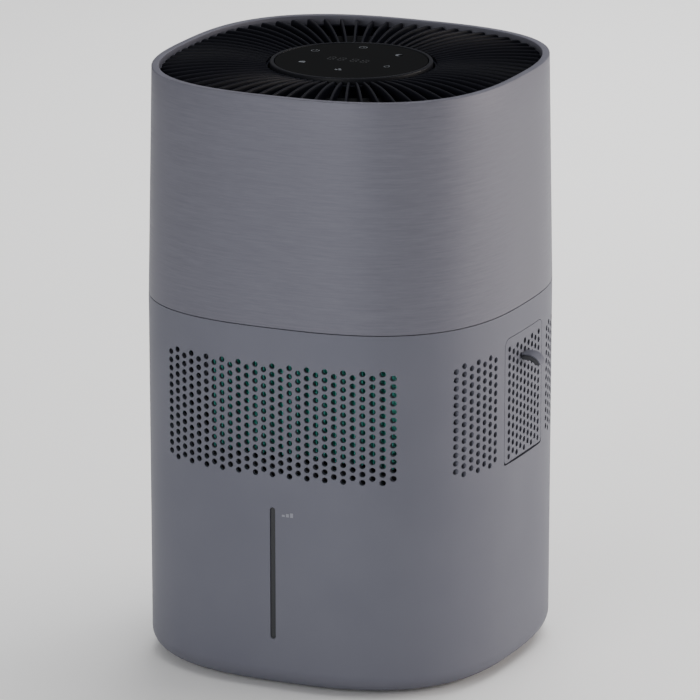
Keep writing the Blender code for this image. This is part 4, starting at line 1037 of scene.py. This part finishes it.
satin_black = moulded("moulded_abs_satin_black", "#111219", "#16171f", 0.42, 0.55,
                      Specular_IOR_Level=0.2)
grid = vane_grid()
stations_count, section = grid.shape[1:3]
v, r, k = np.meshgrid(np.arange(VANES), np.arange(stations_count - 1), np.arange(section),
                      indexing="ij")
at = (v * stations_count + r) * section
quads = np.stack([at + k, at + (k + 1) % section, at + section + (k + 1) % section,
                  at + section + k], axis=3)
ends = [range((n * stations_count + end) * section, (n * stations_count + end + 1) * section)
        for n in range(VANES) for end in (0, stations_count - 1)]
vanes = mesh_piece("grille_vanes", grid, quads, satin_black, polygons=ends)
finish_piece(vanes, satin_black, "casing", "grille_plastic", "top_grille")
cup_edge = [(HUB_OUTER - 0.5 * MM * (1 - math.cos(t)), CUP_TOP - 0.5 * MM * (1 - math.sin(t)))
            for t in arc]
grille_cup = turned("grille_hub_cup", [(HUB_BORE, CUP_TOP), (HUB_BORE, 335 * MM),
                                       (6 * MM, 335 * MM), (6 * MM, 332.5 * MM),
                                       (HUB_OUTER, 332.5 * MM)] + cup_edge, satin_black)
finish_piece(grille_cup, satin_black, "casing", "grille_plastic")
grille_ring = casing_wall("grille_outer_ring", [(4.4 * MM, 346 * MM), (4.4 * MM, 337.9 * MM),
                                                (7.4 * MM, 337.9 * MM), (7.4 * MM, 346 * MM)],
                          satin_black)
finish_piece(grille_ring, satin_black, "casing", "grille_plastic")


# ==== Control panel ========================================================================
# A satin ring holds a disc of back-printed black glass over the lamps. Generic signs for power,
# timer, night, humidity, fan and lock stand round a dim four-digit display.
ring_low, ring_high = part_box("panel_housing")
PANEL_RADIUS, GLASS_RADIUS = ring_high.x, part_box("touch_glass")[1].x
GLASS_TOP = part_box("touch_glass")[1].z
ring_top, seat = ring_high.z, 346 * MM
ring_bore = GLASS_RADIUS + 0.3 * MM
edge = [(PANEL_RADIUS - 0.8 * MM * (1 - math.cos(t)), ring_top - 0.8 * MM * (1 - math.sin(t)))
        for t in arc]
edge += [(ring_bore + 0.4 * MM * (1 - math.sin(t)), ring_top - 0.4 * MM * (1 - math.cos(t)))
         for t in arc]
panel_satin = moulded("moulded_abs_panel_ring", "#15161b", "#1b1c22", 0.4, 0.5,
                      Specular_IOR_Level=0.25)
cup_floor = ring_low.z + 2.2 * MM
cup_rows = [(42.5 * MM, cup_floor), (6 * MM, cup_floor), (6 * MM, ring_low.z),
            (PANEL_RADIUS, ring_low.z)]
housing = turned("panel_housing_ring", cup_rows + edge + [(ring_bore, seat), (42.5 * MM, seat)],
                 panel_satin)
finish_piece(housing, panel_satin, "casing", "panel_plastic", "panel_housing")
dress(board_green, "display_board")


def printed_glass():
    """Black ink behind clear glass: deep gloss with only faint polish marks at 3 mm."""
    made, tree, shader = new_material("back_printed_glass", "#050608", 0.1, Specular_IOR_Level=0.01)
    place = add(tree, "ShaderNodeTexCoord").outputs["Object"]
    polish = add(tree, "ShaderNodeTexNoise", {"Vector": place, "Scale": 1 / (3 * MM),
                                              "Detail": 3.0})
    shade = add(tree, "ShaderNodeMix", {"Factor": polish.outputs["Fac"], "A": linear("#040507"),
                                        "B": linear("#07080a")}, data_type="RGBA")
    gloss = add(tree, "ShaderNodeMapRange", {"Value": polish.outputs["Fac"], "To Min": 0.07,
                                             "To Max": 0.14})
    tree.links.new(shade.outputs["Result"], shader.inputs["Base Color"])
    tree.links.new(gloss.outputs["Result"], shader.inputs["Roughness"])
    return made


glass_ink = printed_glass()
glass_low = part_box("touch_glass")[0].z
touch_glass = turned("touch_glass_disc", [(0, glass_low), (GLASS_RADIUS, glass_low),
                                          (GLASS_RADIUS, GLASS_TOP - 0.3 * MM),
                                          (GLASS_RADIUS - 0.3 * MM, GLASS_TOP), (0, GLASS_TOP)],
                     glass_ink)
finish_piece(touch_glass, glass_ink, "casing", "touch_glass", "touch_glass")


def stroke(points, width=0.4 * MM):
    """The outline of a line of that width: each point steps to both sides of its direction."""
    points = np.asarray(points, float)
    along = np.gradient(points, axis=0)
    along /= np.linalg.norm(along, axis=1)[:, None]
    side = np.stack([-along[:, 1], along[:, 0]], axis=1) * width / 2
    return np.concatenate([points + side, (points - side)[::-1]])


def bow(start, stop, radius, centre=(0, 0), steps=12):
    """Points on an arc between two angles in degrees."""
    turn = np.radians(np.linspace(start, stop, steps))
    return np.stack([centre[0] + radius * np.cos(turn), centre[1] + radius * np.sin(turn)], axis=1)


R = 2.3 * MM
drop_turn = np.linspace(0.02, 2 * math.pi - 0.02, 24)
drop_line = np.stack([R * 0.8 * np.sin(drop_turn) * np.sin(drop_turn / 2),
                      R * np.cos(drop_turn)], axis=1)
SIGNS = [
    [stroke(bow(125, 270, R)), stroke(bow(270, 415, R)), stroke([(0, 0.2 * R), (0, 1.2 * R)])],
    [stroke(bow(0, 180, R)), stroke(bow(180, 360, R)), stroke([(0, 0), (0, 0.6 * R)]),
     stroke([(0, 0), (0.45 * R, 0)])],
    [np.concatenate([bow(50, 310, R, steps=20), bow(290, 70, 0.8 * R, (0.5 * R, 0), 16)])],
    [stroke(drop_line[:12]), stroke(drop_line[11:])],
    [bow(0, 330, 0.42 * R, (0.6 * R * math.cos(a), 0.6 * R * math.sin(a)), 12)
     for a in (math.pi / 2, math.pi * 7 / 6, math.pi * 11 / 6)],
    [[(-0.8 * R, -R), (0.8 * R, -R), (0.8 * R, 0.1 * R), (-0.8 * R, 0.1 * R)],
     stroke(bow(0, 180, 0.5 * R, (0, 0.1 * R)))]]
SIGN_CIRCLE, SIGN_CENTRE = 29 * MM, np.array([-2.5 * MM, 5 * MM])
outlines = []
for number, sign in enumerate(SIGNS):
    at = math.radians(160 - 60 * number)
    place = SIGN_CENTRE + SIGN_CIRCLE * np.array([math.cos(at), math.sin(at)])
    outlines += [np.asarray(shape) + place for shape in sign]
sign_ink = moulded("printed_sign_grey", "#55585e", "#63666c", 0.4, 0.5)
signs = prisms("panel_signs", outlines, GLASS_TOP - 0.02 * MM, GLASS_TOP + 0.03 * MM, "z",
               sign_ink)
finish_piece(signs, sign_ink, "casing", "touch_glass")

DIGIT_WIDE, DIGIT_TALL, DIGIT_STEP, BAR = 3.6 * MM, 6.6 * MM, 6.4 * MM, 0.8 * MM
digits = []
for number in range(4):
    x = SIGN_CENTRE[0] + (number - 1.5) * DIGIT_STEP + (0.8 * MM if number > 1 else -0.8 * MM)
    for row in (-1, 0, 1):
        y = SIGN_CENTRE[1] - 4 * MM + row * DIGIT_TALL / 2
        half = DIGIT_WIDE / 2 - 0.35 * MM
        digits.append([(x - half, y), (x - half + BAR / 2, y - BAR / 2),
                       (x + half - BAR / 2, y - BAR / 2), (x + half, y),
                       (x + half - BAR / 2, y + BAR / 2), (x - half + BAR / 2, y + BAR / 2)])
    for row in (-0.5, 0.5):
        for side in (-1, 1):
            y = SIGN_CENTRE[1] - 4 * MM + row * DIGIT_TALL / 2
            post, half = x + side * DIGIT_WIDE / 2, DIGIT_TALL / 4 - 0.35 * MM
            digits.append([(post, y - half), (post + BAR / 2, y - half + BAR / 2),
                           (post + BAR / 2, y + half - BAR / 2), (post, y + half),
                           (post - BAR / 2, y + half - BAR / 2),
                           (post - BAR / 2, y - half + BAR / 2)])
digit_ink = moulded("unlit_digit_grey", "#191b1f", "#1f2126", 0.3, 0.4)
display = prisms("panel_digits", digits, GLASS_TOP - 0.02 * MM, GLASS_TOP + 0.02 * MM, "z",
                 digit_ink)
finish_piece(display, digit_ink, "casing", "touch_glass")
